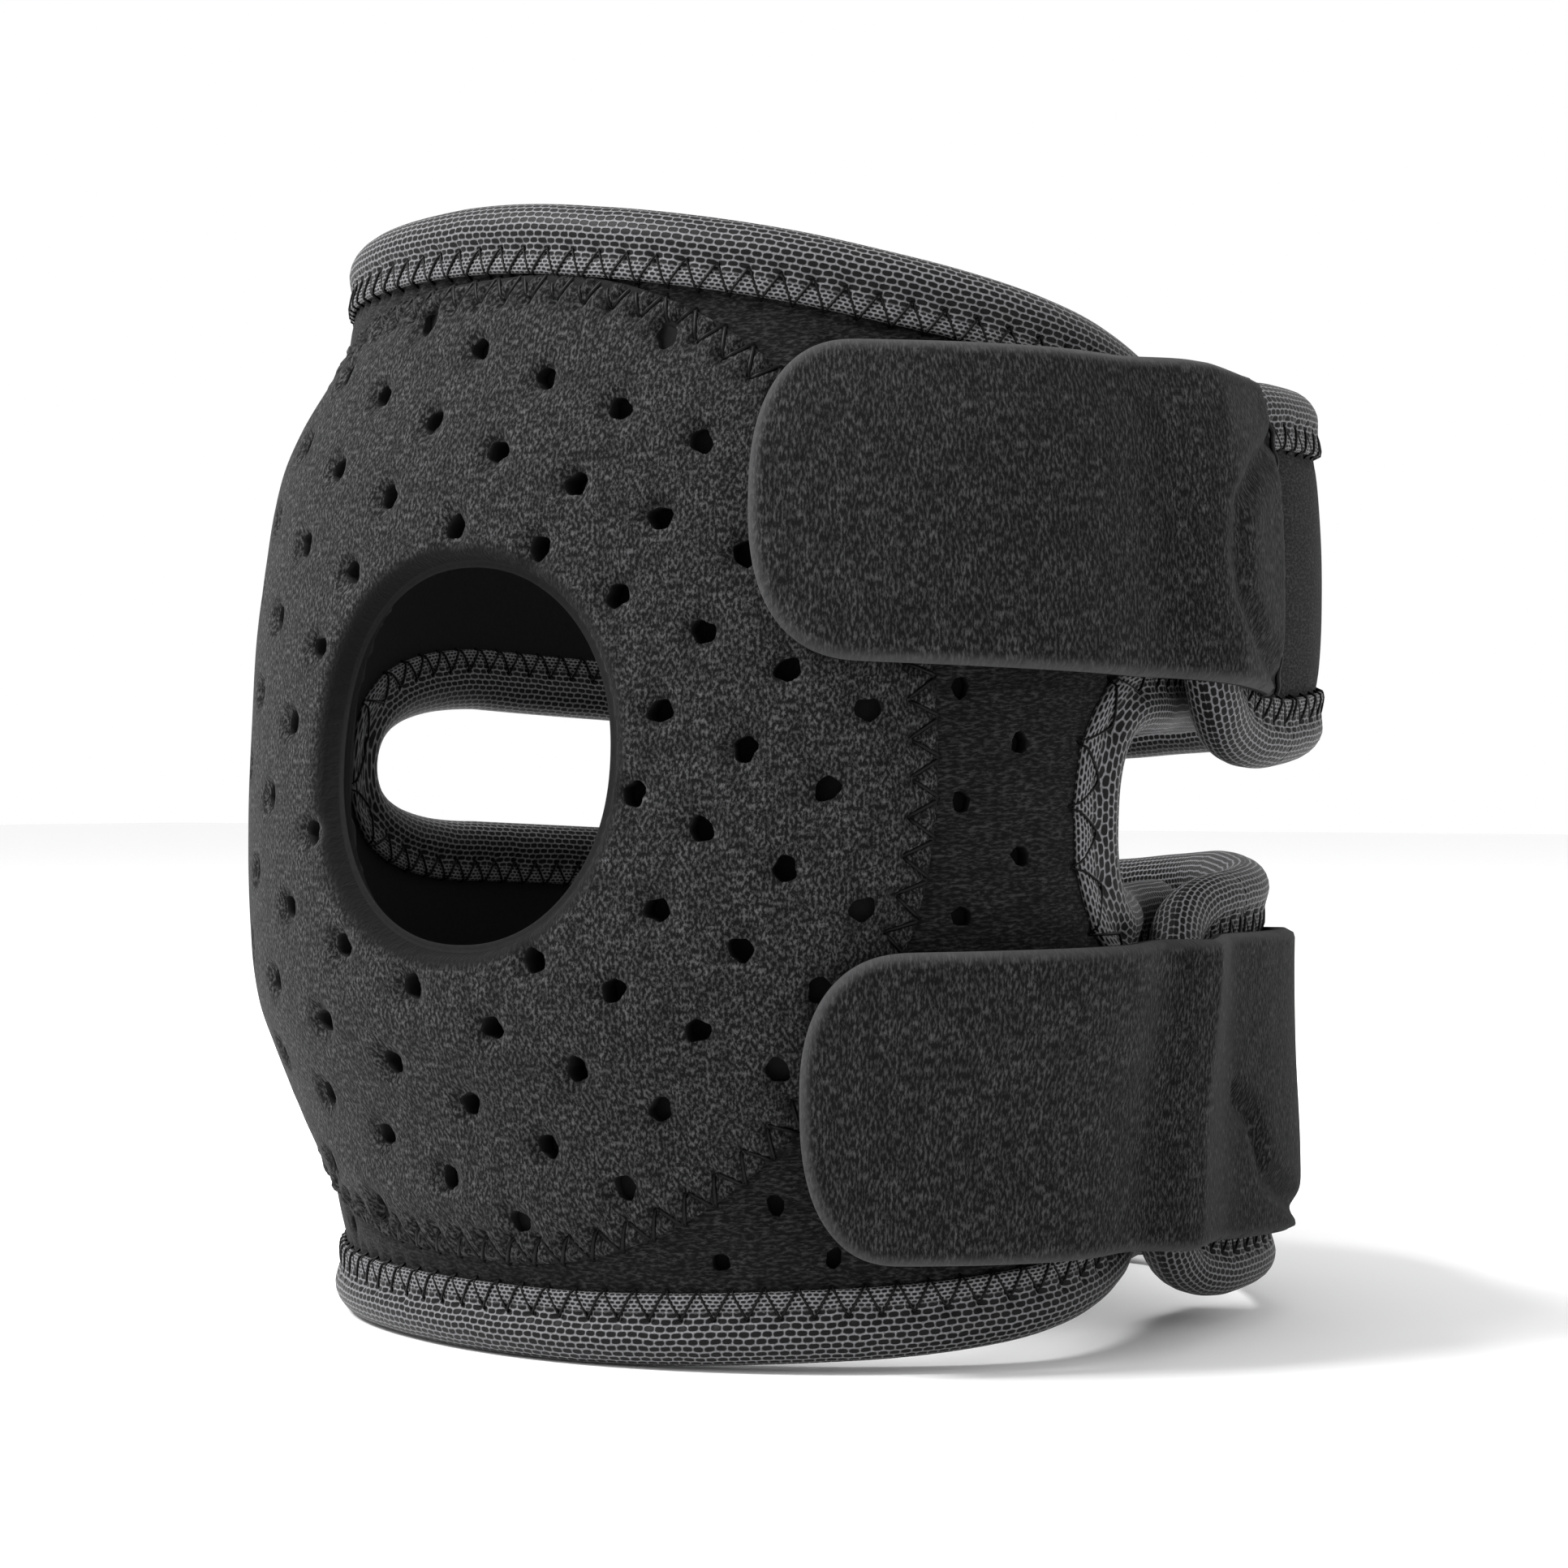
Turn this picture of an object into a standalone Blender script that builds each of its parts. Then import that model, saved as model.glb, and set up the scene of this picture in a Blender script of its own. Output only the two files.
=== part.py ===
import bpy
import bmesh
import math
import numpy as np
from mathutils import Vector

for old in list(bpy.data.objects):
    bpy.data.objects.remove(old, do_unlink=True)

# Driving sizes, metres. The cup faces -Y, and bearings run from -Y towards +X
MM = 0.001
HEIGHT = 135 * MM
RIM_RADIUS = 64 * MM
CUP_BULGE = 10.7 * MM
BOTTOM_FLARE = 2.0 * MM
FOLD_LEAN = 8.2 * MM
FOLD_CANT = 4.1 * MM
LAY_FLAT = 76 * MM
PANEL_THICK = 3.0 * MM
LAYER_GAP = 0.45 * MM
TAPE_THICK = 1.1 * MM
TAPE_WIDTH = 8.5 * MM
TAPE_EASE = 0.6 * MM
TAPE_BUTT = 1.0 * MM
TAPE_GAP = 0.7 * MM
SHORT_WING_END = 100.0
WING_ROUND_START = -266.0
WING_TIP = -290.0
SHORT_WING_LIFT = 4.4 * MM
CUP_HALF_WIDTH = 56.5 * MM
CUP_FAR_HALF_WIDTH = 74.0 * MM
CUP_HALF_HEIGHT = 57.2 * MM
CUP_CENTRE_HEIGHT = 68.4 * MM
CUP_CORNER_POWER = 2.15
CUP_FAR_CORNER_POWER = 2.8
CUP_LAP = 8.0 * MM
CUP_EDGE_THICK = 2.2 * MM
CUP_THICK = 5.4 * MM
CUP_RISE = 3.2 * MM
OPENING_HALF_WIDTH = 20.6 * MM
OPENING_HALF_HEIGHT = 22.4 * MM
OPENING_CENTRE_HEIGHT = 69.8 * MM
NOTCH_BOTTOM = 62.0
NOTCH_CENTRE_HEIGHT = 60.0 * MM
NOTCH_HALF_GAP = 9.3 * MM
NOTCH_CORNER = 7.0 * MM
SLOT_BOTTOM = -72.5
SLOT_ROUND_LONG = 28.0 * MM
SLOT_HIGH = 69.3 * MM
SLOT_LOW = 58.4 * MM
SLOT_HALF_GAP = 8.0 * MM
SLOT_HALF_GAP_AT_FOLD = 6.4 * MM
HOLE_ACROSS = 3.5 * MM
HOLE_SIDES = 6
PANEL_HOLE_SIDES = 6
CUP_HOLE_PITCH = 9.85 * MM
PANEL_HOLE_ACROSS = 3.0 * MM
PANEL_HOLE_STEP = 12.7 * MM
TAB_WIDTH = 36.0 * MM
TAB_THICK = 2.6 * MM
TAB_CLEAR = 3.9 * MM
TAB_OVER_WING = 2.6 * MM
TAB_ON_WING = 2.4 * MM
TAB_END_LONG = 12.0 * MM
TAB_CORNER_POWER = 2.5
HOOK_THICK = 2.4 * MM
HOOK_FROM = 45.0
HOOK_TO = 57.0
HOOK_HALF_HEIGHT = 10.0 * MM
WING_CORNER_POWER = 2.4
PANEL_ROWS = 12

# Plan outline at the rims: bearing in degrees, share of RIM_RADIUS
PLAN = [
    {"bearing": -290, "share": 1.063},
    {"bearing": -278, "share": 1.013},
    {"bearing": -266, "share": 1.017},
    {"bearing": -256, "share": 1.018},
    {"bearing": -246, "share": 0.993},
    {"bearing": -236, "share": 0.962},
    {"bearing": -226, "share": 0.915},
    {"bearing": -211, "share": 0.832},
    {"bearing": -191, "share": 0.768},
    {"bearing": -171, "share": 0.752},
    {"bearing": -146, "share": 0.805},
    {"bearing": -126, "share": 0.885},
    {"bearing": -111, "share": 0.940},
    {"bearing": -97, "share": 0.965},
    {"bearing": -76, "share": 0.945},
    {"bearing": -56, "share": 0.938},
    {"bearing": -26, "share": 0.980},
    {"bearing": 4, "share": 1.002},
    {"bearing": 34, "share": 1.010},
    {"bearing": 54, "share": 1.000},
    {"bearing": 73, "share": 0.906},
    {"bearing": 84, "share": 0.848},
    {"bearing": 100, "share": 0.850},
]

# Bulge by height: share of HEIGHT, share of CUP_BULGE
BULGE = [
    {"up": 0.00, "out": 0.000},
    {"up": 0.06, "out": 0.040},
    {"up": 0.10, "out": 0.160},
    {"up": 0.13, "out": 0.235},
    {"up": 0.17, "out": 0.315},
    {"up": 0.21, "out": 0.470},
    {"up": 0.25, "out": 0.670},
    {"up": 0.285, "out": 0.835},
    {"up": 0.32, "out": 0.925},
    {"up": 0.36, "out": 0.970},
    {"up": 0.47, "out": 1.000},
    {"up": 0.55, "out": 0.960},
    {"up": 0.63, "out": 0.905},
    {"up": 0.70, "out": 0.800},
    {"up": 0.745, "out": 0.720},
    {"up": 0.78, "out": 0.625},
    {"up": 0.82, "out": 0.450},
    {"up": 0.85, "out": 0.315},
    {"up": 0.88, "out": 0.215},
    {"up": 0.92, "out": 0.150},
    {"up": 0.96, "out": 0.050},
    {"up": 1.00, "out": 0.000},
]

# Bulge round the plan: bearing in degrees, share of CUP_BULGE
AROUND = [
    {"bearing": -150, "share": 0.00},
    {"bearing": -115, "share": 0.06},
    {"bearing": -97, "share": 0.25},
    {"bearing": -76, "share": 0.62},
    {"bearing": -56, "share": 0.90},
    {"bearing": -42, "share": 1.00},
    {"bearing": 20, "share": 1.00},
    {"bearing": 42, "share": 0.93},
    {"bearing": 54, "share": 0.80},
    {"bearing": 62, "share": 0.62},
    {"bearing": 70, "share": 0.42},
    {"bearing": 78, "share": 0.24},
    {"bearing": 86, "share": 0.12},
    {"bearing": 94, "share": 0.05},
    {"bearing": 104, "share": 0.00},
]

# The fold side leans in: share of HEIGHT, share of FOLD_LEAN
LEAN = [
    {"up": 0.00, "out": -0.91},
    {"up": 0.13, "out": -0.91},
    {"up": 0.22, "out": -0.98},
    {"up": 0.33, "out": -1.00},
    {"up": 0.40, "out": -0.95},
    {"up": 0.46, "out": -0.47},
    {"up": 0.54, "out": -0.12},
    {"up": 0.65, "out": 0.00},
    {"up": 0.70, "out": -0.02},
    {"up": 0.78, "out": -0.16},
    {"up": 0.82, "out": -0.33},
    {"up": 0.87, "out": -0.42},
    {"up": 1.00, "out": -0.42},
]

# Top rim: bearing in degrees, share of HEIGHT
TOP_EDGE = [
    {"bearing": -290, "share": 0.834},
    {"bearing": -246, "share": 0.836},
    {"bearing": -236, "share": 0.845},
    {"bearing": -192, "share": 0.89},
    {"bearing": -142, "share": 0.937},
    {"bearing": -100, "share": 0.972},
    {"bearing": -70, "share": 0.993},
    {"bearing": -34, "share": 1},
    {"bearing": 4, "share": 0.993},
    {"bearing": 30, "share": 0.952},
    {"bearing": 42, "share": 0.924},
    {"bearing": 59, "share": 0.8835},
    {"bearing": 85, "share": 0.838},
    {"bearing": 100, "share": 0.831},
]

# The fold side stands up off the resting plane: bearing in degrees, share of FOLD_CANT
CANT = [
    {"bearing": -290, "share": 0.73},
    {"bearing": -278, "share": 0.83},
    {"bearing": -262, "share": 0.93},
    {"bearing": -246, "share": 1.00},
    {"bearing": -232, "share": 0.95},
    {"bearing": -215, "share": 0.55},
    {"bearing": -200, "share": 0.12},
    {"bearing": -190, "share": 0.00},
    {"bearing": 8, "share": 0.00},
    {"bearing": 16, "share": 0.06},
    {"bearing": 34, "share": 0.29},
    {"bearing": 54, "share": 0.55},
    {"bearing": 73, "share": 0.76},
    {"bearing": 84, "share": 0.85},
    {"bearing": 100, "share": 0.95},
]

# Tabs: bearings of the free and sewn ends, middle at each end as a share of HEIGHT, width there as a share of TAB_WIDTH
TABS = [
    {"name": "upper", "free": 27.0, "sewn": 86.0, "middle": 0.722, "middle_sewn": 0.683, "wide": 0.99, "wide_sewn": 1.05},
    {"name": "lower", "free": 31.0, "sewn": 118.0, "middle": 0.219, "middle_sewn": 0.184, "wide": 0.97, "wide_sewn": 1.06},
]

# The cup's perforations, a lattice drawn out by the moulding: steps each way, shares of CUP_HOLE_PITCH from its start
LATTICE = [
    {"i": 1, "j": 0, "across": 0.986, "up": -0.460},
    {"i": 0, "j": 1, "across": 0.481, "up": 0.871},
    {"i": 2, "j": 0, "across": -0.034, "up": -0.006},
    {"i": 1, "j": 1, "across": -0.017, "up": -0.002},
    {"i": 0, "j": 2, "across": -0.010, "up": -0.005},
]

# Columns of cells round the plan, closer together at the fold
STATIONS = [
    {"from": -290, "to": -215, "cells": 12},
    {"from": -215, "to": -95, "cells": 9},
    {"from": -95, "to": 46, "cells": 17},
    {"from": 46, "to": 100, "cells": 9},
]

COLOURS = [
    {"name": "neoprene_fleece", "colour": (0.032, 0.032, 0.034, 1.0)},
    {"name": "cup_fleece", "colour": (0.045, 0.045, 0.047, 1.0)},
    {"name": "mesh_tape", "colour": (0.022, 0.022, 0.024, 1.0)},
    {"name": "tab_fleece", "colour": (0.04, 0.04, 0.042, 1.0)},
    {"name": "hook_plastic", "colour": (0.02, 0.02, 0.02, 1.0)},
]

parts = bpy.data.collections.new("parts")
cutters = bpy.data.collections.new("cutters")
bpy.context.scene.collection.children.link(parts)
bpy.context.scene.collection.children.link(cutters)

materials = {}
for row in COLOURS:
    made = bpy.data.materials.new(row["name"])
    made.use_nodes = True
    made.node_tree.nodes["Principled BSDF"].inputs["Base Color"].default_value = row["colour"]
    made.node_tree.nodes["Principled BSDF"].inputs["Roughness"].default_value = 0.9
    materials[row["name"]] = made


# Smooth curve through a table's rows
def smooth(rows, across, along, at):
    xs = [row[across] for row in rows]
    ys = [row[along] for row in rows]
    at = min(max(at, xs[0]), xs[-1])
    steps = [xs[i + 1] - xs[i] for i in range(len(xs) - 1)]
    rises = [(ys[i + 1] - ys[i]) / steps[i] for i in range(len(steps))]
    slopes = [rises[0]]
    for i in range(1, len(steps)):
        slopes.append((rises[i - 1] * steps[i] + rises[i] * steps[i - 1]) / (steps[i - 1] + steps[i]))
    slopes.append(rises[-1])
    k = 0
    while k < len(steps) - 1 and at > xs[k + 1]:
        k += 1
    t = (at - xs[k]) / steps[k]
    start = (2 * t**3 - 3 * t**2 + 1) * ys[k] + (t**3 - 2 * t**2 + t) * steps[k] * slopes[k]
    return start + (3 * t**2 - 2 * t**3) * ys[k + 1] + (t**3 - t**2) * steps[k] * slopes[k + 1]


def ease(low, high, at):
    t = min(max((at - low) / (high - low), 0.0), 1.0)
    return t * t * (3 - 2 * t)


# How much of the bulge a bearing has, also where the back wings lie over the front
def bulge_share(bearing):
    turned_to = bearing + 360 if bearing < -180 else bearing
    return smooth(AROUND, "bearing", "share", turned_to)


def lean_share(bearing):
    turned_to = bearing + 360 if bearing < -180 else bearing
    return ease(52, 84, turned_to) * (1 - ease(118, 160, turned_to))


def rim_point(bearing, height):
    share = bulge_share(bearing)
    up = height / HEIGHT
    radius = RIM_RADIUS * smooth(PLAN, "bearing", "share", bearing)
    radius += BOTTOM_FLARE * (1 - up) * share
    radius += FOLD_LEAN * smooth(LEAN, "up", "out", up) * lean_share(bearing)
    radius += CUP_BULGE * share * smooth(BULGE, "up", "out", up)
    turn = math.radians(bearing)
    return Vector((radius * math.sin(turn), -radius * math.cos(turn)))


def cant_at(bearing):
    if CANT[7]["bearing"] <= bearing <= CANT[8]["bearing"]:
        return 0.0
    return FOLD_CANT * smooth(CANT, "bearing", "share", bearing)


columns = []
for row in STATIONS:
    for k in range(row["cells"]):
        columns.append(row["from"] + (row["to"] - row["from"]) * k / row["cells"])
columns.append(STATIONS[-1]["to"])

# Every layer follows the same flat cells, so that the gap between two layers stays even
node_points = []
node_outward = []
for bearing in columns:
    points = []
    outs = []
    for row in range(PANEL_ROWS + 1):
        height = HEIGHT * row / PANEL_ROWS
        step = rim_point(bearing + 0.5, height) - rim_point(bearing - 0.5, height)
        points.append(rim_point(bearing, height))
        outs.append(Vector((step.y, -step.x)).normalized())
    node_points.append(points)
    node_outward.append(outs)


# A point of the panel's outer surface, moved out level by some depth
def on_panel(bearing, height, out):
    bearing = min(max(bearing, columns[0]), columns[-1])
    k = 0
    while k < len(columns) - 2 and bearing > columns[k + 1]:
        k += 1
    across = (bearing - columns[k]) / (columns[k + 1] - columns[k])
    rise = min(max(height / HEIGHT, 0.0), 1.0) * PANEL_ROWS
    j = min(int(rise), PANEL_ROWS - 1)
    up = rise - j
    corners = []
    for column in (k, k + 1):
        for row in (j, j + 1):
            corners.append(node_points[column][row] + node_outward[column][row] * out)
    left = corners[0].lerp(corners[1], up)
    right = corners[2].lerp(corners[3], up)
    here = left.lerp(right, across)
    cant = cant_at(columns[k]) + (cant_at(columns[k + 1]) - cant_at(columns[k])) * across
    return Vector((here.x, here.y, height + cant))


def turned(point, degrees):
    turn = math.radians(degrees)
    x = point.x * math.cos(turn) - point.y * math.sin(turn)
    y = point.x * math.sin(turn) + point.y * math.cos(turn)
    return Vector((x, y, point.z))


# The tabs lie on the front and climb over the ends of the back wings
def on_tab(bearing, height, out):
    tip = WING_TIP + 360
    over_wing = TAB_OVER_WING + (TAB_ON_WING - TAB_OVER_WING) * ease(96, 106, bearing)
    if bearing > 98:
        return on_panel(bearing - 360, height, out + over_wing)
    low = on_panel(bearing, height, out + TAB_CLEAR)
    if bearing >= tip:
        high = on_panel(bearing - 360, height, out + over_wing)
    else:
        high = turned(on_panel(WING_TIP, height, out + over_wing), bearing - tip)
    return low.lerp(high, ease(tip - 12, tip - 2, bearing))


def bearing_of(flat):
    return math.degrees(flat / LAY_FLAT)


def flat_of(bearing):
    return math.radians(bearing) * LAY_FLAT


def top_at(bearing):
    return HEIGHT * smooth(TOP_EDGE, "bearing", "share", bearing)


def bottom_at(bearing):
    return SHORT_WING_LIFT * ease(36, 96, bearing)


# Where the slot's rounded end joins its straight sides
slot_round = flat_of(SLOT_BOTTOM) - SLOT_ROUND_LONG
slot_round_bearing = bearing_of(slot_round)


def slot_share(bearing):
    return min(max((slot_round_bearing - bearing) / (slot_round_bearing - WING_ROUND_START), 0.0), 1.0)


def slot_middle(bearing):
    return SLOT_HIGH + (SLOT_LOW - SLOT_HIGH) * slot_share(bearing)


def slot_half(bearing):
    return SLOT_HALF_GAP + (SLOT_HALF_GAP_AT_FOLD - SLOT_HALF_GAP) * slot_share(bearing)


def power(value, exponent):
    return math.copysign(abs(value) ** exponent, value)


# Points on a rounded box between two angles, in the flat
def rounded(centre, half, corner_power, start, stop, count):
    found = []
    for k in range(count + 1):
        turn = math.radians(start + (stop - start) * k / count)
        across = half[0] * power(math.cos(turn), 2 / corner_power)
        up = half[1] * power(math.sin(turn), 2 / corner_power)
        found.append((centre[0] + across, centre[1] + up))
    return found


def wing_end(low, high):
    centre = (flat_of(WING_ROUND_START), (low + high) / 2)
    half = (flat_of(WING_ROUND_START) - flat_of(WING_TIP), (high - low) / 2)
    return rounded(centre, half, WING_CORNER_POWER, 90, 270, 8)


def between(start, stop):
    inside = [b for b in columns if min(start, stop) + 1.5 < b < max(start, stop) - 1.5]
    return [start] + (inside if stop > start else inside[::-1]) + [stop]


# The outline of the whole cut sheet, in runs, each the line that its binding tape goes over
notch_round = flat_of(NOTCH_BOTTOM) + NOTCH_CORNER
notch_round_bearing = bearing_of(notch_round)
fold_low = slot_middle(WING_ROUND_START) - slot_half(WING_ROUND_START)
fold_high = slot_middle(WING_ROUND_START) + slot_half(WING_ROUND_START)
run_top = [(flat_of(b), top_at(b)) for b in between(SHORT_WING_END, WING_ROUND_START)]
run_top += wing_end(fold_high, top_at(WING_ROUND_START))[1:]
run_slot = [(flat_of(b), slot_middle(b) + slot_half(b)) for b in between(WING_ROUND_START, slot_round_bearing)]
run_slot += rounded((slot_round, SLOT_HIGH), (SLOT_ROUND_LONG, slot_half(slot_round_bearing)), 2.0, 90, -90, 8)[1:-1]
run_slot += [(flat_of(b), slot_middle(b) - slot_half(b)) for b in between(slot_round_bearing, WING_ROUND_START)]
run_bottom = wing_end(0.0, fold_low)
run_bottom += [(flat_of(b), bottom_at(b)) for b in between(WING_ROUND_START, SHORT_WING_END)][1:]
notch_low = NOTCH_CENTRE_HEIGHT - NOTCH_HALF_GAP
notch_high = NOTCH_CENTRE_HEIGHT + NOTCH_HALF_GAP
run_notch = [(flat_of(b), notch_low) for b in between(SHORT_WING_END, notch_round_bearing)]
run_notch += rounded((notch_round, NOTCH_CENTRE_HEIGHT), (NOTCH_CORNER, NOTCH_HALF_GAP), 2.4, 270, 90, 8)[1:-1]
run_notch += [(flat_of(b), notch_high) for b in between(notch_round_bearing, SHORT_WING_END)]


# Direction into the cloth at each point of a run, which has the cloth on its left
def inward(run):
    found = []
    for k in range(len(run)):
        before = run[max(k - 1, 0)]
        after = run[min(k + 1, len(run) - 1)]
        along = Vector((after[0] - before[0], after[1] - before[1])).normalized()
        found.append(Vector((-along.y, along.x)))
    return found


def add_object(name, mesh, collection, material):
    made = bpy.data.objects.new(name, mesh)
    collection.objects.link(made)
    if material:
        mesh.materials.append(materials[material])
    return made


# A straight-sided block whose outline is a run of points in the flat
def prism(name, outline, low, high):
    shape = bmesh.new()
    face = shape.faces.new([shape.verts.new((x, low, y)) for x, y in outline])
    pulled = bmesh.ops.extrude_face_region(shape, geom=[face])
    for vert in [item for item in pulled["geom"] if isinstance(item, bmesh.types.BMVert)]:
        vert.co.y = high
    bmesh.ops.recalc_face_normals(shape, faces=shape.faces)
    mesh = bpy.data.meshes.new(name)
    shape.to_mesh(mesh)
    shape.free()
    made = add_object(name, mesh, cutters, None)
    made.display_type = "WIRE"
    made.hide_render = True
    return made


# Many round punches as one cutter
def punches(name, spots, sides, low, high):
    shape = bmesh.new()
    for x, y, radius in spots:
        ring = []
        for k in range(sides):
            turn = 2 * math.pi * (k + 0.5) / sides
            ring.append(shape.verts.new((x + radius * math.cos(turn), low, y + radius * math.sin(turn))))
        face = shape.faces.new(ring)
        pulled = bmesh.ops.extrude_face_region(shape, geom=[face])
        for vert in [item for item in pulled["geom"] if isinstance(item, bmesh.types.BMVert)]:
            vert.co.y = high
    bmesh.ops.recalc_face_normals(shape, faces=shape.faces)
    mesh = bpy.data.meshes.new(name)
    shape.to_mesh(mesh)
    shape.free()
    made = add_object(name, mesh, cutters, None)
    made.display_type = "WIRE"
    made.hide_render = True
    return made


def use(made, kind, **settings):
    modifier = made.modifiers.new(kind.title(), kind)
    for key, value in settings.items():
        setattr(modifier, key, value)
    return modifier


def apply_all(made):
    bpy.context.view_layer.objects.active = made
    made.select_set(True)
    for modifier in list(made.modifiers):
        bpy.ops.object.modifier_apply(modifier=modifier.name)
    made.select_set(False)


# A flat sheet of cells: its outline, windows and holes are cut in the flat, and then it is laid round the plan
def cut_sheet(name, across, heights, outline, windows, spots, sides, material, lay):
    across = [across[0] - 2 * MM] + list(across[1:-1]) + [across[-1] + 2 * MM] if outline else across
    bpy.ops.mesh.primitive_grid_add(x_subdivisions=len(across) - 1, y_subdivisions=len(heights) - 1, size=2)
    sheet = bpy.context.active_object
    sheet.name = name
    sheet.data.name = name
    for collection in list(sheet.users_collection):
        collection.objects.unlink(sheet)
    parts.objects.link(sheet)
    sheet.data.materials.append(materials[material])
    for vert in sheet.data.vertices:
        column = round((vert.co.x + 1) / 2 * (len(across) - 1))
        row = round((vert.co.y + 1) / 2 * (len(heights) - 1))
        vert.co = (across[column], 0.5, heights[row])
    use(sheet, "SOLIDIFY", thickness=1.0, offset=-1.0)
    apply_all(sheet)
    middle = sum(vert.co.y for vert in sheet.data.vertices) / len(sheet.data.vertices)
    for vert in sheet.data.vertices:
        vert.co.y -= middle
    if outline:
        keep = prism(name + "_outline", outline, -1.0, 1.0)
        use(sheet, "BOOLEAN", operation="INTERSECT", solver="EXACT", object=keep)
    for k, window in enumerate(windows):
        gap = prism(f"{name}_window_{k}", window, -1.0, 1.0)
        use(sheet, "BOOLEAN", operation="DIFFERENCE", solver="EXACT", object=gap)
    if spots:
        punch = punches(name + "_holes", spots, sides, -1.0, 1.0)
        use(sheet, "BOOLEAN", operation="DIFFERENCE", solver="EXACT", object=punch)
    use(sheet, "TRIANGULATE", quad_method="BEAUTY", ngon_method="BEAUTY")
    apply_all(sheet)
    for vert in sheet.data.vertices:
        vert.co = lay(bearing_of(vert.co.x), vert.co.z, vert.co.y > 0)
    fix_facing(sheet)
    return sheet


def fix_facing(made):
    shape = bmesh.new()
    shape.from_mesh(made.data)
    bmesh.ops.recalc_face_normals(shape, faces=shape.faces)
    if shape.calc_volume(signed=True) < 0:
        bmesh.ops.reverse_faces(shape, faces=shape.faces)
    shape.to_mesh(made.data)
    shape.free()
    for face in made.data.polygons:
        face.use_smooth = True
    made.data.set_sharp_from_angle(angle=math.radians(35))


# Binding tape folded over an edge: its section is carried along a run
def tape(name, run, low_butt, high_butt):
    points = [Vector(point) for point in run]
    if low_butt:
        points[0] = points[0] + (points[1] - points[0]).normalized() * low_butt
    if high_butt:
        points[-1] = points[-1] + (points[-2] - points[-1]).normalized() * high_butt
    aim = inward([tuple(point) for point in points])
    near = TAPE_GAP
    far = TAPE_GAP + TAPE_THICK
    back = -PANEL_THICK - TAPE_GAP
    rear = back - TAPE_THICK
    section = [
        (TAPE_WIDTH, near),
        (TAPE_WIDTH, far),
        (TAPE_EASE, far),
        (0.0, far - TAPE_EASE),
        (0.0, rear + TAPE_EASE),
        (TAPE_EASE, rear),
        (TAPE_WIDTH, rear),
        (TAPE_WIDTH, back),
        (TAPE_THICK, back),
        (TAPE_THICK, near),
    ]
    shape = bmesh.new()
    rings = []
    for point, into in zip(points, aim):
        ring = []
        for depth, out in section:
            spot = point + into * depth
            ring.append(shape.verts.new(on_panel(bearing_of(spot.x), spot.y, out)))
        rings.append(ring)
    count = len(section)
    for first, second in zip(rings[:-1], rings[1:]):
        for k in range(count):
            shape.faces.new((first[k], first[(k + 1) % count], second[(k + 1) % count], second[k]))
    for ring, order in ((rings[0], -1), (rings[-1], 1)):
        for corners in ((0, 1, 2, 9), (9, 2, 3), (9, 3, 4, 8), (8, 4, 5), (8, 5, 6, 7)):
            shape.faces.new([ring[k] for k in corners[::order]])
    bmesh.ops.triangulate(shape, faces=shape.faces)
    mesh = bpy.data.meshes.new(name)
    shape.to_mesh(mesh)
    shape.free()
    made = add_object(name, mesh, parts, "mesh_tape")
    fix_facing(made)
    return made


# Panel outline, a little inside the tape's fold
def inset(run, amount):
    return [tuple(Vector(point) + into * amount) for point, into in zip(run, inward(run))]


EDGE_INSET = TAPE_THICK + TAPE_GAP
panel_outline = inset(run_bottom, EDGE_INSET) + inset(run_notch, EDGE_INSET)
panel_outline += inset(run_top, EDGE_INSET) + inset(run_slot, EDGE_INSET)[1:-1]

cup_centre = (0.0, CUP_CENTRE_HEIGHT)
opening_centre = (0.0, OPENING_CENTRE_HEIGHT)


# The cup is longer on its far side, where it goes round to the slot
def cup_half(across, less):
    far = across < cup_centre[0]
    half = CUP_FAR_HALF_WIDTH if far else CUP_HALF_WIDTH
    corner_power = CUP_FAR_CORNER_POWER if far else CUP_CORNER_POWER
    return (half - less, CUP_HALF_HEIGHT - less), corner_power


def cup_line(less, count):
    near, near_power = cup_half(1.0, less)
    far, far_power = cup_half(-1.0, less)
    near_side = rounded(cup_centre, near, near_power, -90, 90, count)
    return near_side + rounded(cup_centre, far, far_power, 90, 270, count)[1:-1]


cup_outline = cup_line(0.0, 16)
cup_window = cup_line(CUP_LAP, 14)
opening = rounded(opening_centre, (OPENING_HALF_WIDTH, OPENING_HALF_HEIGHT), 2.15, 0, 360, 24)[:-1]


# How far out a spot is on a rounded box, 1 on its edge
def reach(spot, centre, half, corner_power):
    across = abs(spot[0] - centre[0]) / half[0]
    up = abs(spot[1] - centre[1]) / half[1]
    return (across**corner_power + up**corner_power) ** (1 / corner_power)


# Perforations of the cup, a square lattice drawn out by the moulding; those close to the opening move off its edge
cup_spots = []
hole_radius = HOLE_ACROSS / 2
lattice_start = Vector((CUP_HALF_WIDTH * 0.463, CUP_CENTRE_HEIGHT + CUP_HALF_HEIGHT * 0.102))
for i in range(-12, 13):
    for j in range(-12, 13):
        spot = lattice_start.copy()
        for row in LATTICE:
            spot += Vector((row["across"], row["up"])) * CUP_HOLE_PITCH * i ** row["i"] * j ** row["j"]
        out_edge, corner_power = cup_half(spot.x, 3.9 * MM)
        if reach(spot, cup_centre, out_edge, corner_power) > 1:
            continue
        away = reach(spot, opening_centre, (OPENING_HALF_WIDTH, OPENING_HALF_HEIGHT), 2.15)
        clear = 1 + (hole_radius + 1.3 * MM) / OPENING_HALF_WIDTH
        if away < clear - 0.12:
            continue
        if away < clear:
            middle = Vector(opening_centre)
            spot = middle + (spot - middle) * clear / away
        cup_spots.append((spot.x, spot.y, hole_radius))

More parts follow.
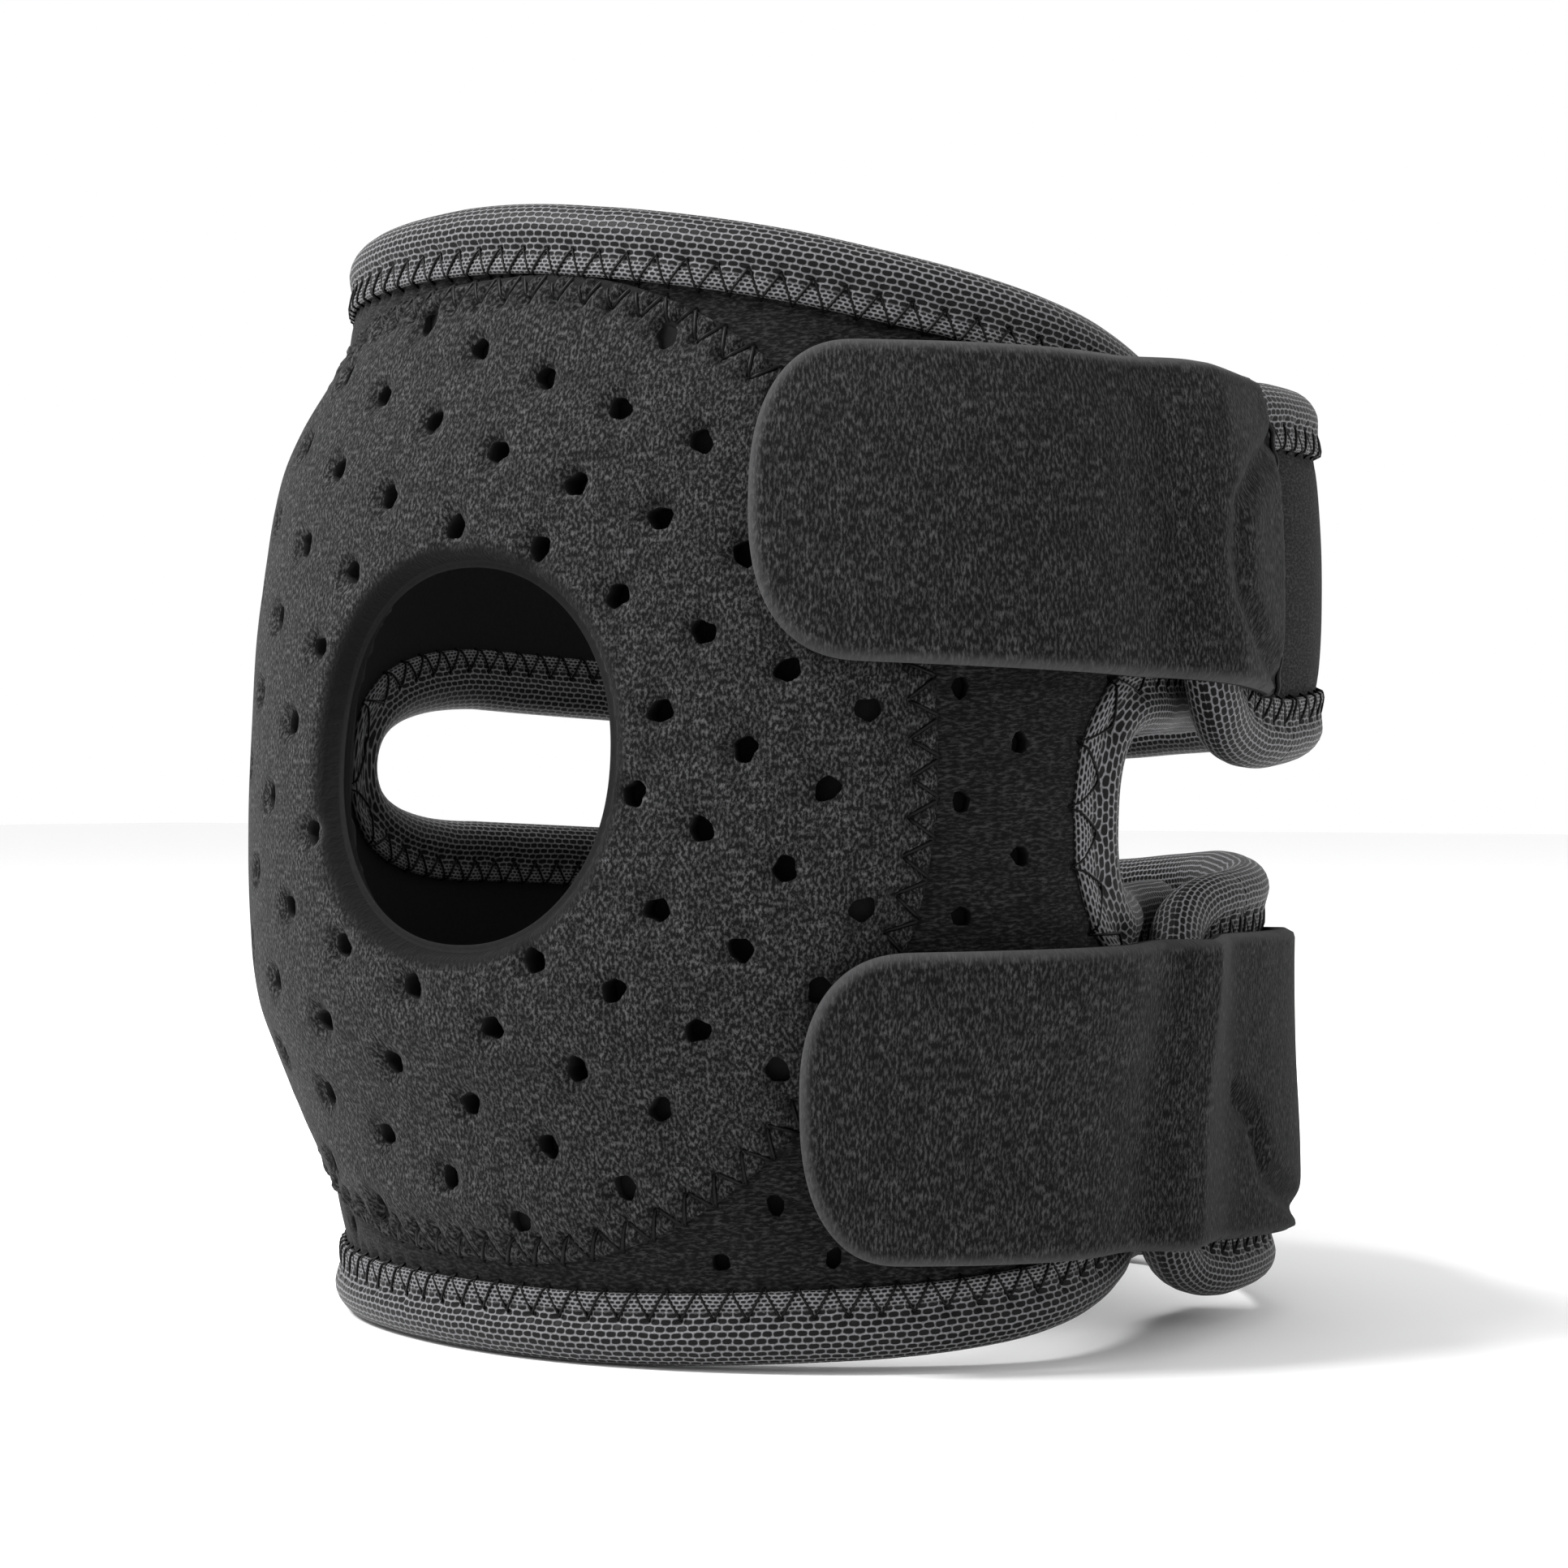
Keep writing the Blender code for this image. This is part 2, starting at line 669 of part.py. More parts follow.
# Perforations of the panel on both sides of the cup, a square lattice on its point
panel_spots = []
panel_hole_radius = PANEL_HOLE_ACROSS / 2
for i in range(-10, 12):
    for j in range(-1, 24):
        x = PANEL_HOLE_STEP * (0.567 * i - 0.425)
        y = OPENING_CENTRE_HEIGHT + PANEL_HOLE_STEP * (0.5 * j - 5.05)
        bearing = bearing_of(x)
        if (i + j) % 2:
            continue
        edge, corner_power = cup_half(x, -2.6 * MM)
        if reach((x, y), cup_centre, edge, corner_power) < 1:
            continue
        if y < bottom_at(bearing) + TAPE_WIDTH + 2.2 * MM or y > top_at(bearing) - TAPE_WIDTH - 2.2 * MM:
            continue
        if bearing < SLOT_BOTTOM + 10 or bearing > NOTCH_BOTTOM - 9:
            continue
        panel_spots.append((x, y, panel_hole_radius))


def lay_panel(bearing, height, outer):
    return on_panel(bearing, height, 0.0 if outer else -PANEL_THICK)


# The cup is thin where it is sewn to the panel, and swells to its full rise and thickness inside the window
def lay_cup(bearing, height, outer):
    spot = (flat_of(bearing), height)
    half, corner_power = cup_half(spot[0], 0.0)
    distance = (1 - reach(spot, cup_centre, half, corner_power)) * CUP_HALF_HEIGHT
    swell = ease(0.0, CUP_LAP, distance)
    dip = ease(CUP_LAP + 10.0 * MM, CUP_LAP + 18.0 * MM, distance)
    top = LAYER_GAP + CUP_EDGE_THICK + (CUP_RISE - LAYER_GAP - CUP_EDGE_THICK) * swell
    low = LAYER_GAP + (CUP_RISE - CUP_THICK - LAYER_GAP) * dip
    return on_panel(bearing, height, top if outer else low)


rows = [HEIGHT * k / PANEL_ROWS for k in range(PANEL_ROWS + 1)]
cut_sheet(
    "base_panel",
    [flat_of(b) for b in columns],
    rows,
    panel_outline,
    [cup_window],
    panel_spots,
    PANEL_HOLE_SIDES,
    "neoprene_fleece",
    lay_panel,
)
cup_columns = [flat_of(b) for b in columns if -CUP_FAR_HALF_WIDTH < flat_of(b) + CUP_LAP and flat_of(b) - CUP_LAP < CUP_HALF_WIDTH]
cut_sheet("elbow_cup", cup_columns, rows, cup_outline, [opening], cup_spots, HOLE_SIDES, "cup_fleece", lay_cup)

tape("top_binding", run_top, TAPE_BUTT, TAPE_BUTT)
tape("slot_binding", run_slot, TAPE_BUTT, TAPE_BUTT)
tape("bottom_binding", run_bottom, TAPE_BUTT, TAPE_BUTT)
tape("notch_binding", run_notch, TAPE_BUTT, TAPE_BUTT)


def tab_line(row, bearing):
    share = (bearing - row["free"]) / (row["sewn"] - row["free"])
    middle = HEIGHT * (row["middle"] + (row["middle_sewn"] - row["middle"]) * share)
    half = TAB_WIDTH / 2 * (row["wide"] + (row["wide_sewn"] - row["wide"]) * share)
    return middle, half


for row in TABS:
    start = flat_of(row["free"])
    stop = flat_of(row["sewn"])
    tip = WING_TIP + 360
    inside = [b for b in columns if row["free"] + 1 < b < tip] + [b + 360 for b in columns if tip <= b + 360 < row["sewn"] - 1]
    across = [flat_of(b) for b in [row["free"]] + inside + [row["sewn"]]]
    round_at = start + TAB_END_LONG
    outline = []
    for k in range(9):
        turn = math.radians(90 + 180 * k / 8)
        x = round_at + TAB_END_LONG * power(math.cos(turn), 2 / TAB_CORNER_POWER)
        middle, half = tab_line(row, bearing_of(x))
        outline.append((x, middle + half * power(math.sin(turn), 2 / TAB_CORNER_POWER)))
    middle, half = tab_line(row, row["sewn"])
    outline += [(stop, middle - half), (stop, middle + half)]
    low = min(y for x, y in outline) - 1 * MM
    high = max(y for x, y in outline) + 1 * MM
    heights = [low + (high - low) * k / 5 for k in range(6)]
    cut_sheet(
        row["name"] + "_tab",
        across,
        heights,
        outline,
        [],
        [],
        0,
        "tab_fleece",
        lambda bearing, height, outer: on_tab(bearing, height, TAB_THICK if outer else 0.0),
    )
    middle, half = tab_line(row, (HOOK_FROM + HOOK_TO) / 2)
    hook_columns = [HOOK_FROM] + [b for b in columns if HOOK_FROM + 2 < b < HOOK_TO - 2] + [HOOK_TO]
    cut_sheet(
        row["name"] + "_hook_patch",
        [flat_of(b) for b in hook_columns],
        [middle + HOOK_HALF_HEIGHT * k / 2 for k in range(-2, 3)],
        [],
        [],
        [],
        0,
        "hook_plastic",
        lambda bearing, height, outer: on_panel(bearing, height, LAYER_GAP + (HOOK_THICK if outer else 0.0)),
    )

# The whole stands centred over the origin
everything = [vert.co for made in parts.objects for vert in made.data.vertices]
shift_x = -(min(co.x for co in everything) + max(co.x for co in everything)) / 2
shift_y = -(min(co.y for co in everything) + max(co.y for co in everything)) / 2
for made in parts.objects:
    for vert in made.data.vertices:
        vert.co.x += shift_x
        vert.co.y += shift_y
for collection in (parts, cutters):
    for made in collection.objects:
        made.select_set(False)
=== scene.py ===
import math

import bpy
import numpy as np
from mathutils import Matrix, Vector


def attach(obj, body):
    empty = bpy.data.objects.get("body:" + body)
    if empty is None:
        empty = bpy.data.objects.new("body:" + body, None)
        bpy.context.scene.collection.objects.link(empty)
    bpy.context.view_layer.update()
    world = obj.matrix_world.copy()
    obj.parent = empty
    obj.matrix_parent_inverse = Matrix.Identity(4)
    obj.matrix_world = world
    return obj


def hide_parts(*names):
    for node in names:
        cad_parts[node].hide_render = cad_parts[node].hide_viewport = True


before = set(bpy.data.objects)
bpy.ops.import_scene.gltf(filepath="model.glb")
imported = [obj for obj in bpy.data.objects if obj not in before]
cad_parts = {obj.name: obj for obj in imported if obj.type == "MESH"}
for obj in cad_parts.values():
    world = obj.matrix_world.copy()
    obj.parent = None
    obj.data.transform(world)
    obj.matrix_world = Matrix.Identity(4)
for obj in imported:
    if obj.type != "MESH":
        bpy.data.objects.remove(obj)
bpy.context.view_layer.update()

# Driving sizes, metres, as in the part. The cup faces -Y, and bearings run from -Y towards +X
MM = 0.001
HEIGHT = 135 * MM
RIM_RADIUS = 64 * MM
CUP_BULGE = 10.7 * MM
BOTTOM_FLARE = 2.0 * MM
FOLD_LEAN = 8.2 * MM
FOLD_CANT = 4.1 * MM
LAY_FLAT = 76 * MM
PANEL_THICK = 3.0 * MM
LAYER_GAP = 0.45 * MM
TAPE_THICK = 1.1 * MM
TAPE_WIDTH = 8.5 * MM
TAPE_GAP = 0.7 * MM
SHORT_WING_END = 100.0
WING_ROUND_START = -266.0
WING_TIP = -290.0
SHORT_WING_LIFT = 4.4 * MM
CUP_HALF_WIDTH = 56.5 * MM
CUP_FAR_HALF_WIDTH = 74.0 * MM
CUP_HALF_HEIGHT = 57.2 * MM
CUP_CENTRE_HEIGHT = 68.4 * MM
CUP_CORNER_POWER = 2.15
CUP_FAR_CORNER_POWER = 2.8
CUP_LAP = 8.0 * MM
CUP_THICK = 5.4 * MM
CUP_RISE = 3.2 * MM
OPENING_HALF_WIDTH = 20.6 * MM
OPENING_HALF_HEIGHT = 22.4 * MM
OPENING_CENTRE_HEIGHT = 69.8 * MM
OPENING_CORNER_POWER = 2.15
NOTCH_BOTTOM = 62.0
NOTCH_CENTRE_HEIGHT = 60.0 * MM
NOTCH_HALF_GAP = 9.3 * MM
NOTCH_CORNER = 7.0 * MM
SLOT_BOTTOM = -72.5
SLOT_ROUND_LONG = 28.0 * MM
SLOT_HIGH = 69.3 * MM
SLOT_LOW = 58.4 * MM
SLOT_HALF_GAP = 8.0 * MM
SLOT_HALF_GAP_AT_FOLD = 6.4 * MM
HOLE_ACROSS = 3.5 * MM
CUP_HOLE_PITCH = 9.85 * MM
PANEL_HOLE_ACROSS = 3.0 * MM
PANEL_HOLE_STEP = 12.7 * MM
TAB_WIDTH = 36.0 * MM
TAB_THICK = 2.6 * MM
TAB_CLEAR = 3.9 * MM
TAB_OVER_WING = 2.6 * MM
TAB_ON_WING = 2.4 * MM
TAB_END_LONG = 12.0 * MM
TAB_CORNER_POWER = 2.5
HOOK_THICK = 2.4 * MM
HOOK_FROM = 45.0
HOOK_TO = 57.0
HOOK_HALF_HEIGHT = 10.0 * MM
WING_CORNER_POWER = 2.4

# Where the plan's centre lies, with the whole centred over the origin
PLAN_CENTRE = (-2.602 * MM, 14.488 * MM)
PLAN_SHIFT = np.array([*PLAN_CENTRE, 0.0])

# Finish sizes, which only the dressed model has
CUP_CELL = 0.55 * MM
PANEL_CELL = 0.75 * MM
PANEL_CELL_TALL = 1.05 * MM
PANEL_CELL_BACK = 2.3 * MM
TAB_CELL = 0.6 * MM
TAPE_STEP = 0.6 * MM
TAPE_BUTT = 0.15 * MM
THREAD_RADIUS = 0.16 * MM
CUP_THREAD_RADIUS = 0.28 * MM
STITCH_PITCH = 4.3 * MM
STITCH_IN = 5.4 * MM
STITCH_OFF = 8.9 * MM
CUP_STITCH_PITCH = 4.5 * MM
CUP_STITCH_IN = 3.3 * MM
CUP_EDGE_RISE = 1.2 * MM
CUP_LIP = 2.6 * MM
LINING_THICK = 0.35 * MM
HOLE_SEEN = 2.9 * MM
PANEL_HOLE_SEEN = 2.5 * MM
LINING_CELL = 1.6 * MM
# Width of the painted highlight along the tabs' fuzzy cut edges
FUZZ_AND_HIGHLIGHT_WIDE = 1.6 * MM
MESH_ROW = 0.78 * MM
MESH_DASH = 1.46 * MM
STITCH_STEPS = 6
TAB_END_THINNER = 1.3 * MM
END_STITCH_IN = 0.9 * MM
END_STITCH_SHORT = 0.5 * MM
END_STITCH_SINK = 0.15 * MM
END_WAVE_LONG = 3.4 * MM
END_WAVE_HIGH = 0.45 * MM
FINE_FROM = -74
FINE_TO = 64

# Clearances of the perforations, as in the part: the last two in degrees
HOLE_FROM_OPENING = 1.3 * MM
HOLE_FROM_CUP_EDGE = 3.9 * MM
PANEL_HOLE_FROM_CUP = 2.6 * MM
HOLE_FROM_TAPE = 2.2 * MM
HOLE_FROM_SLOT = 10
HOLE_FROM_NOTCH = 9

# Dents: how deep, and how wide to each side
DENTS = {
    "cup_hole": (0.75 * MM, 0.8 * MM),
    "cup_lobe": (0.5 * MM, 1.3 * MM),
    "cup_thread": (0.8 * MM, 0.5 * MM),
    "cup_needle": (0.7 * MM, 0.8 * MM),
    "cup_under_tape": (0.9 * MM, 0.9 * MM),
    "panel_hole": (0.4 * MM, 0.9 * MM),
    "panel_under_tape": (0.5 * MM, 0.9 * MM),
    "tape_thread": (0.22 * MM, 0.45 * MM),
    "tape_needle": (0.6 * MM, 0.7 * MM),
    "crease": (1.5 * MM, 1.8 * MM),
    "crease_inside": (1.0 * MM, 1.8 * MM),
}

# Fibres shade each other, so cloth keeps little of the gloss that its IOR gives
CLOTH_GLOSS = 0.12


# A table's rows, each value under its column's name
def table(columns, *rows):
    return [dict(zip(columns.split(), row)) for row in rows]


# Plan outline at the rims: bearing in degrees, share of RIM_RADIUS
PLAN = table(
    "bearing share",
    (-290, 1.063),
    (-278, 1.013),
    (-266, 1.017),
    (-256, 1.018),
    (-246, 0.993),
    (-236, 0.962),
    (-226, 0.915),
    (-211, 0.832),
    (-191, 0.768),
    (-171, 0.752),
    (-146, 0.805),
    (-126, 0.885),
    (-111, 0.940),
    (-97, 0.965),
    (-76, 0.945),
    (-56, 0.938),
    (-26, 0.980),
    (4, 1.002),
    (34, 1.010),
    (54, 1.000),
    (73, 0.906),
    (84, 0.848),
    (100, 0.850),
)

# Bulge by height: share of HEIGHT, share of CUP_BULGE
BULGE = table(
    "up out",
    (0.00, 0.000),
    (0.06, 0.040),
    (0.10, 0.160),
    (0.13, 0.235),
    (0.17, 0.315),
    (0.21, 0.470),
    (0.25, 0.670),
    (0.285, 0.835),
    (0.32, 0.925),
    (0.36, 0.970),
    (0.47, 1.000),
    (0.55, 0.960),
    (0.63, 0.905),
    (0.70, 0.800),
    (0.745, 0.720),
    (0.78, 0.625),
    (0.82, 0.450),
    (0.85, 0.315),
    (0.88, 0.215),
    (0.92, 0.150),
    (0.96, 0.050),
    (1.00, 0.000),
)

# Bulge round the plan: bearing in degrees, share of CUP_BULGE
AROUND = table(
    "bearing share",
    (-150, 0.00),
    (-115, 0.06),
    (-97, 0.25),
    (-76, 0.62),
    (-56, 0.90),
    (-42, 1.00),
    (20, 1.00),
    (42, 0.93),
    (54, 0.80),
    (62, 0.62),
    (70, 0.42),
    (78, 0.24),
    (86, 0.12),
    (94, 0.05),
    (104, 0.00),
)

# The fold side leans in: share of HEIGHT, share of FOLD_LEAN
LEAN = table(
    "up out",
    (0.00, -0.91),
    (0.13, -0.91),
    (0.22, -0.98),
    (0.33, -1.00),
    (0.40, -0.95),
    (0.46, -0.47),
    (0.54, -0.12),
    (0.65, 0.00),
    (0.70, -0.02),
    (0.78, -0.16),
    (0.82, -0.33),
    (0.87, -0.42),
    (1.00, -0.42),
)

# Top rim: bearing in degrees, share of HEIGHT
TOP_EDGE = table(
    "bearing share",
    (-290, 0.834),
    (-246, 0.836),
    (-236, 0.845),
    (-192, 0.89),
    (-142, 0.937),
    (-100, 0.972),
    (-70, 0.993),
    (-34, 1),
    (4, 0.993),
    (30, 0.952),
    (42, 0.924),
    (59, 0.8835),
    (85, 0.838),
    (100, 0.831),
)

# The fold side stands up off the resting plane: bearing in degrees, share of FOLD_CANT
CANT = table(
    "bearing share",
    (-290, 0.73),
    (-278, 0.83),
    (-262, 0.93),
    (-246, 1.00),
    (-232, 0.95),
    (-215, 0.55),
    (-200, 0.12),
    (-190, 0.00),
    (8, 0.00),
    (16, 0.06),
    (34, 0.29),
    (54, 0.55),
    (73, 0.76),
    (84, 0.85),
    (100, 0.95),
)

# Tabs: bearings of the free and sewn ends, the middle at each end as a share of HEIGHT, and the width there as a
# share of TAB_WIDTH
TABS = table(
    "name free sewn middle middle_sewn wide wide_sewn",
    ("upper", 27.0, 86.0, 0.722, 0.683, 0.99, 1.05),
    ("lower", 31.0, 118.0, 0.219, 0.184, 0.97, 1.06),
)

# The cup's perforations, a lattice drawn out by the moulding: steps each way, and shares of CUP_HOLE_PITCH from
# its start
LATTICE = table(
    "i j across up",
    (1, 0, 0.986, -0.460),
    (0, 1, 0.481, 0.871),
    (2, 0, -0.034, -0.006),
    (1, 1, -0.017, -0.002),
    (0, 2, -0.010, -0.005),
)

# The tape's side from its edge to its fold: share of TAPE_WIDTH in from the fold, share of its outer face
TAPE_SIDE = table(
    "in out",
    (1.000, 0.10),
    (0.995, 0.34),
    (0.970, 0.50),
    (0.920, 0.58),
    (0.860, 0.60),
    (0.790, 0.61),
    (0.720, 0.63),
    (0.650, 0.68),
    (0.590, 0.76),
    (0.520, 0.86),
    (0.450, 0.95),
)

# Where each tab is creased by the fold under it: bearing in degrees, share of HEIGHT
CREASES = table(
    "name bearing up",
    ("upper", 84, 0.775),
    ("upper", 76, 0.747),
    ("upper", 71.5, 0.713),
    ("upper", 70.5, 0.670),
    ("upper", 71, 0.630),
    ("upper", 75, 0.588),
    ("upper", 84, 0.552),
    ("lower", 84, 0.190),
    ("lower", 88.6, 0.165),
    ("lower", 92, 0.110),
    ("lower", 102, 0.075),
    ("lower", 116, 0.048),
)


# Smooth curve through a table's rows
def smooth(rows, across, along, at):
    xs = np.array([row[across] for row in rows], float)
    ys = np.array([row[along] for row in rows], float)
    at = np.clip(at, xs[0], xs[-1])
    steps = np.diff(xs)
    rises = np.diff(ys) / steps
    slopes = np.empty(len(xs))
    slopes[0] = rises[0]
    slopes[-1] = rises[-1]
    slopes[1:-1] = (rises[:-1] * steps[1:] + rises[1:] * steps[:-1]) / (steps[:-1] + steps[1:])
    k = np.clip(np.searchsorted(xs, at) - 1, 0, len(steps) - 1)
    t = (at - xs[k]) / steps[k]
    start = (2 * t**3 - 3 * t**2 + 1) * ys[k] + (t**3 - 2 * t**2 + t) * steps[k] * slopes[k]
    return start + (3 * t**2 - 2 * t**3) * ys[k + 1] + (t**3 - t**2) * steps[k] * slopes[k + 1]


def ease(low, high, at):
    t = np.clip((at - low) / (high - low), 0.0, 1.0)
    return t * t * (3 - 2 * t)


def seen_bearing(bearing):
    return np.where(bearing < -180, bearing + 360, bearing)


# Plan point of the panel's outer face, without the cant
def plan_point(bearing, height):
    seen = seen_bearing(bearing)
    share = smooth(AROUND, "bearing", "share", seen)
    lean = ease(52, 84, seen) * (1 - ease(118, 160, seen))
    up = height / HEIGHT
    radius = RIM_RADIUS * smooth(PLAN, "bearing", "share", bearing)
    radius = radius + BOTTOM_FLARE * (1 - up) * share + FOLD_LEAN * lean * smooth(LEAN, "up", "out", up)
    radius = radius + CUP_BULGE * share * smooth(BULGE, "up", "out", up)
    turn = np.radians(bearing)
    return radius * np.sin(turn), -radius * np.cos(turn)


# Slow unevenness that soft cloth keeps, the same for every layer at a bearing
def slack(bearing, height):
    turn = np.radians(bearing)
    wave = np.sin(5 * turn + 38 * height / HEIGHT / 6) * 0.5
    wave = wave + np.sin(9 * turn - 9.0 * height / HEIGHT + 1.3) * 0.3
    return wave * 0.35 * MM


# A point of the panel's outer face, moved out level by some depth
def on_panel(bearing, height, out):
    bearing = np.clip(bearing, WING_TIP, SHORT_WING_END)
    height = np.clip(height, 0.0, HEIGHT)
    x, y = plan_point(bearing, height)
    before_x, before_y = plan_point(bearing - 0.5, height)
    after_x, after_y = plan_point(bearing + 0.5, height)
    along_x = after_x - before_x
    along_y = after_y - before_y
    length = np.hypot(along_x, along_y)
    out = out + slack(bearing, height)
    flat_middle = (bearing >= -190) & (bearing <= 8)
    cant = np.where(flat_middle, 0.0, FOLD_CANT * smooth(CANT, "bearing", "share", bearing))
    return np.stack([x + along_y / length * out, y - along_x / length * out, height + cant], axis=-1)


# The tabs lie on the front and climb over the ends of the back wings
def on_tab(bearing, height, out, sewn):
    tip = WING_TIP + 360
    over_wing = TAB_OVER_WING + (TAB_ON_WING - TAB_OVER_WING) * ease(96, 106, bearing)
    over_wing = over_wing - 1.0 * MM * ease(sewn - 5, sewn, bearing)
    wing = on_panel(np.maximum(bearing - 360, WING_TIP), height, out + over_wing)
    turn = np.radians(np.minimum(bearing - tip, 0.0))
    turned_x = wing[:, 0] * np.cos(turn) - wing[:, 1] * np.sin(turn)
    turned_y = wing[:, 0] * np.sin(turn) + wing[:, 1] * np.cos(turn)
    high = np.stack([turned_x, turned_y, wing[:, 2]], axis=-1)
    low = on_panel(bearing, height, out + TAB_CLEAR)
    share = np.where(bearing > 98, 1.0, ease(tip - 12, tip - 2, bearing))[:, None]
    return low * (1 - share) + high * share


def bearing_of(flat):
    return np.degrees(flat / LAY_FLAT)


def flat_of(bearing):
    return np.radians(bearing) * LAY_FLAT


# Points of the flat on the panel's outer face, moved out level by some depth
def on_cloth(points, out):
    return on_panel(bearing_of(points[:, 0]), points[:, 1], out)


def unit(ways):
    return ways / np.linalg.norm(ways, axis=1)[:, None]


def top_at(bearing):
    return HEIGHT * smooth(TOP_EDGE, "bearing", "share", bearing)


def bottom_at(bearing):
    return SHORT_WING_LIFT * ease(36, 96, bearing)


# Where the slot's rounded end joins its straight sides
slot_round = flat_of(SLOT_BOTTOM) - SLOT_ROUND_LONG
slot_round_bearing = float(bearing_of(slot_round))


def slot_share(bearing):
    return np.clip((slot_round_bearing - bearing) / (slot_round_bearing - WING_ROUND_START), 0.0, 1.0)


def slot_middle(bearing):
    return SLOT_HIGH + (SLOT_LOW - SLOT_HIGH) * slot_share(bearing)


def slot_half(bearing):
    return SLOT_HALF_GAP + (SLOT_HALF_GAP_AT_FOLD - SLOT_HALF_GAP) * slot_share(bearing)


# Points on a rounded box between two angles, in the flat
def rounded(centre, half, corner_power, start, stop, count):
    turn = np.radians(np.linspace(start, stop, count + 1))
    across = np.sign(np.cos(turn)) * np.abs(np.cos(turn)) ** (2 / corner_power)
    up = np.sign(np.sin(turn)) * np.abs(np.sin(turn)) ** (2 / corner_power)
    return np.stack([centre[0] + half[0] * across, centre[1] + half[1] * up], axis=-1)


# How far out a spot is on a rounded box, 1 on its edge
def reach(spots, centre, half, corner_power):
    across = np.abs(spots[..., 0] - centre[0]) / half[0]
    up = np.abs(spots[..., 1] - centre[1]) / half[1]
    return (across**corner_power + up**corner_power) ** (1 / corner_power)


def wing_end(low, high):
    centre = (flat_of(WING_ROUND_START), (low + high) / 2)
    half = (flat_of(WING_ROUND_START) - flat_of(WING_TIP), (high - low) / 2)
    return rounded(centre, half, WING_CORNER_POWER, 90, 270, 60)


def line_at(start, stop, height_at):
    bearings = np.linspace(start, stop, max(2, int(abs(stop - start)) + 1))
    return np.stack([flat_of(bearings), height_at(bearings) + 0 * bearings], axis=-1)


# Runs of the cut edge, each with the cloth on its left
notch_round = flat_of(NOTCH_BOTTOM) + NOTCH_CORNER
notch_round_bearing = float(bearing_of(notch_round))
fold_low = float(slot_middle(WING_ROUND_START) - slot_half(WING_ROUND_START))
fold_high = float(slot_middle(WING_ROUND_START) + slot_half(WING_ROUND_START))
slot_end_half = (SLOT_ROUND_LONG, float(slot_half(slot_round_bearing)))
notch_half = (NOTCH_CORNER, NOTCH_HALF_GAP)
upper_wing_end = wing_end(fold_high, float(top_at(WING_ROUND_START)))
run_top = np.concatenate([line_at(SHORT_WING_END, WING_ROUND_START, top_at), upper_wing_end[1:]])
run_slot = np.concatenate(
    [
        line_at(WING_ROUND_START, slot_round_bearing, lambda b: slot_middle(b) + slot_half(b)),
        rounded((slot_round, SLOT_HIGH), slot_end_half, 2.0, 90, -90, 40)[1:-1],
        line_at(slot_round_bearing, WING_ROUND_START, lambda b: slot_middle(b) - slot_half(b)),
    ]
)
run_bottom = np.concatenate([wing_end(0.0, fold_low), line_at(WING_ROUND_START, SHORT_WING_END, bottom_at)[1:]])
run_notch = np.concatenate(
    [
        line_at(SHORT_WING_END, notch_round_bearing, lambda b: NOTCH_CENTRE_HEIGHT - NOTCH_HALF_GAP),
        rounded((notch_round, NOTCH_CENTRE_HEIGHT), notch_half, 2.4, 270, 90, 30)[1:-1],
        line_at(notch_round_bearing, SHORT_WING_END, lambda b: NOTCH_CENTRE_HEIGHT + NOTCH_HALF_GAP),
    ]
)


# Even points along a run, with how far along each is and the direction into the cloth
def spaced(run, step, butt=0.0, closed=False):
    if closed:
        run = np.concatenate([run, run[:1]])
    length = np.concatenate([[0.0], np.cumsum(np.hypot(*np.diff(run, axis=0).T))])
    count = max(2, int(round((length[-1] - 2 * butt) / step)))
    at = np.linspace(butt, length[-1] - butt, count + 1)
    points = np.stack([np.interp(at, length, run[:, 0]), np.interp(at, length, run[:, 1])], axis=-1)
    if closed:
        ahead = np.roll(points[:-1], -2, axis=0) - np.roll(points[:-1], 2, axis=0)
        ahead = np.concatenate([ahead, ahead[:1]])
    else:
        first = np.maximum(np.arange(count + 1) - 2, 0)
        last = np.minimum(np.arange(count + 1) + 2, count)
        ahead = points[last] - points[first]
    ahead = ahead / np.hypot(ahead[:, 0], ahead[:, 1])[:, None]
    return points, at, np.stack([-ahead[:, 1], ahead[:, 0]], axis=-1)


def inset(run, amount):
    points, _, into = spaced(run, 1.2 * MM)
    return points + into * amount


EDGE_INSET = TAPE_THICK + TAPE_GAP
panel_outline = np.concatenate([inset(run, EDGE_INSET) for run in (run_bottom, run_notch, run_top, run_slot)])
cup_centre = (0.0, CUP_CENTRE_HEIGHT)
opening_centre = (0.0, OPENING_CENTRE_HEIGHT)
opening_half = (OPENING_HALF_WIDTH, OPENING_HALF_HEIGHT)
opening = rounded(opening_centre, opening_half, OPENING_CORNER_POWER, 0, 360, 160)[:-1]


# The cup is longer on its far side, where it goes round to the slot
def cup_line(less, count):
    near = (CUP_HALF_WIDTH - less, CUP_HALF_HEIGHT - less)
    far = (CUP_FAR_HALF_WIDTH - less, CUP_HALF_HEIGHT - less)
    near_side = rounded(cup_centre, near, CUP_CORNER_POWER, -90, 90, count)
    return np.concatenate([near_side, rounded(cup_centre, far, CUP_FAR_CORNER_POWER, 90, 270, count)[1:-1]])


def cup_reach(spots, less=0.0):
    near = reach(spots, cup_centre, (CUP_HALF_WIDTH - less, CUP_HALF_HEIGHT - less), CUP_CORNER_POWER)
    far = reach(spots, cup_centre, (CUP_FAR_HALF_WIDTH - less, CUP_HALF_HEIGHT - less), CUP_FAR_CORNER_POWER)
    return np.where(spots[..., 0] < cup_centre[0], far, near)


cup_outline = cup_line(0.0, 130)
cup_window = cup_line(CUP_LAP, 90)


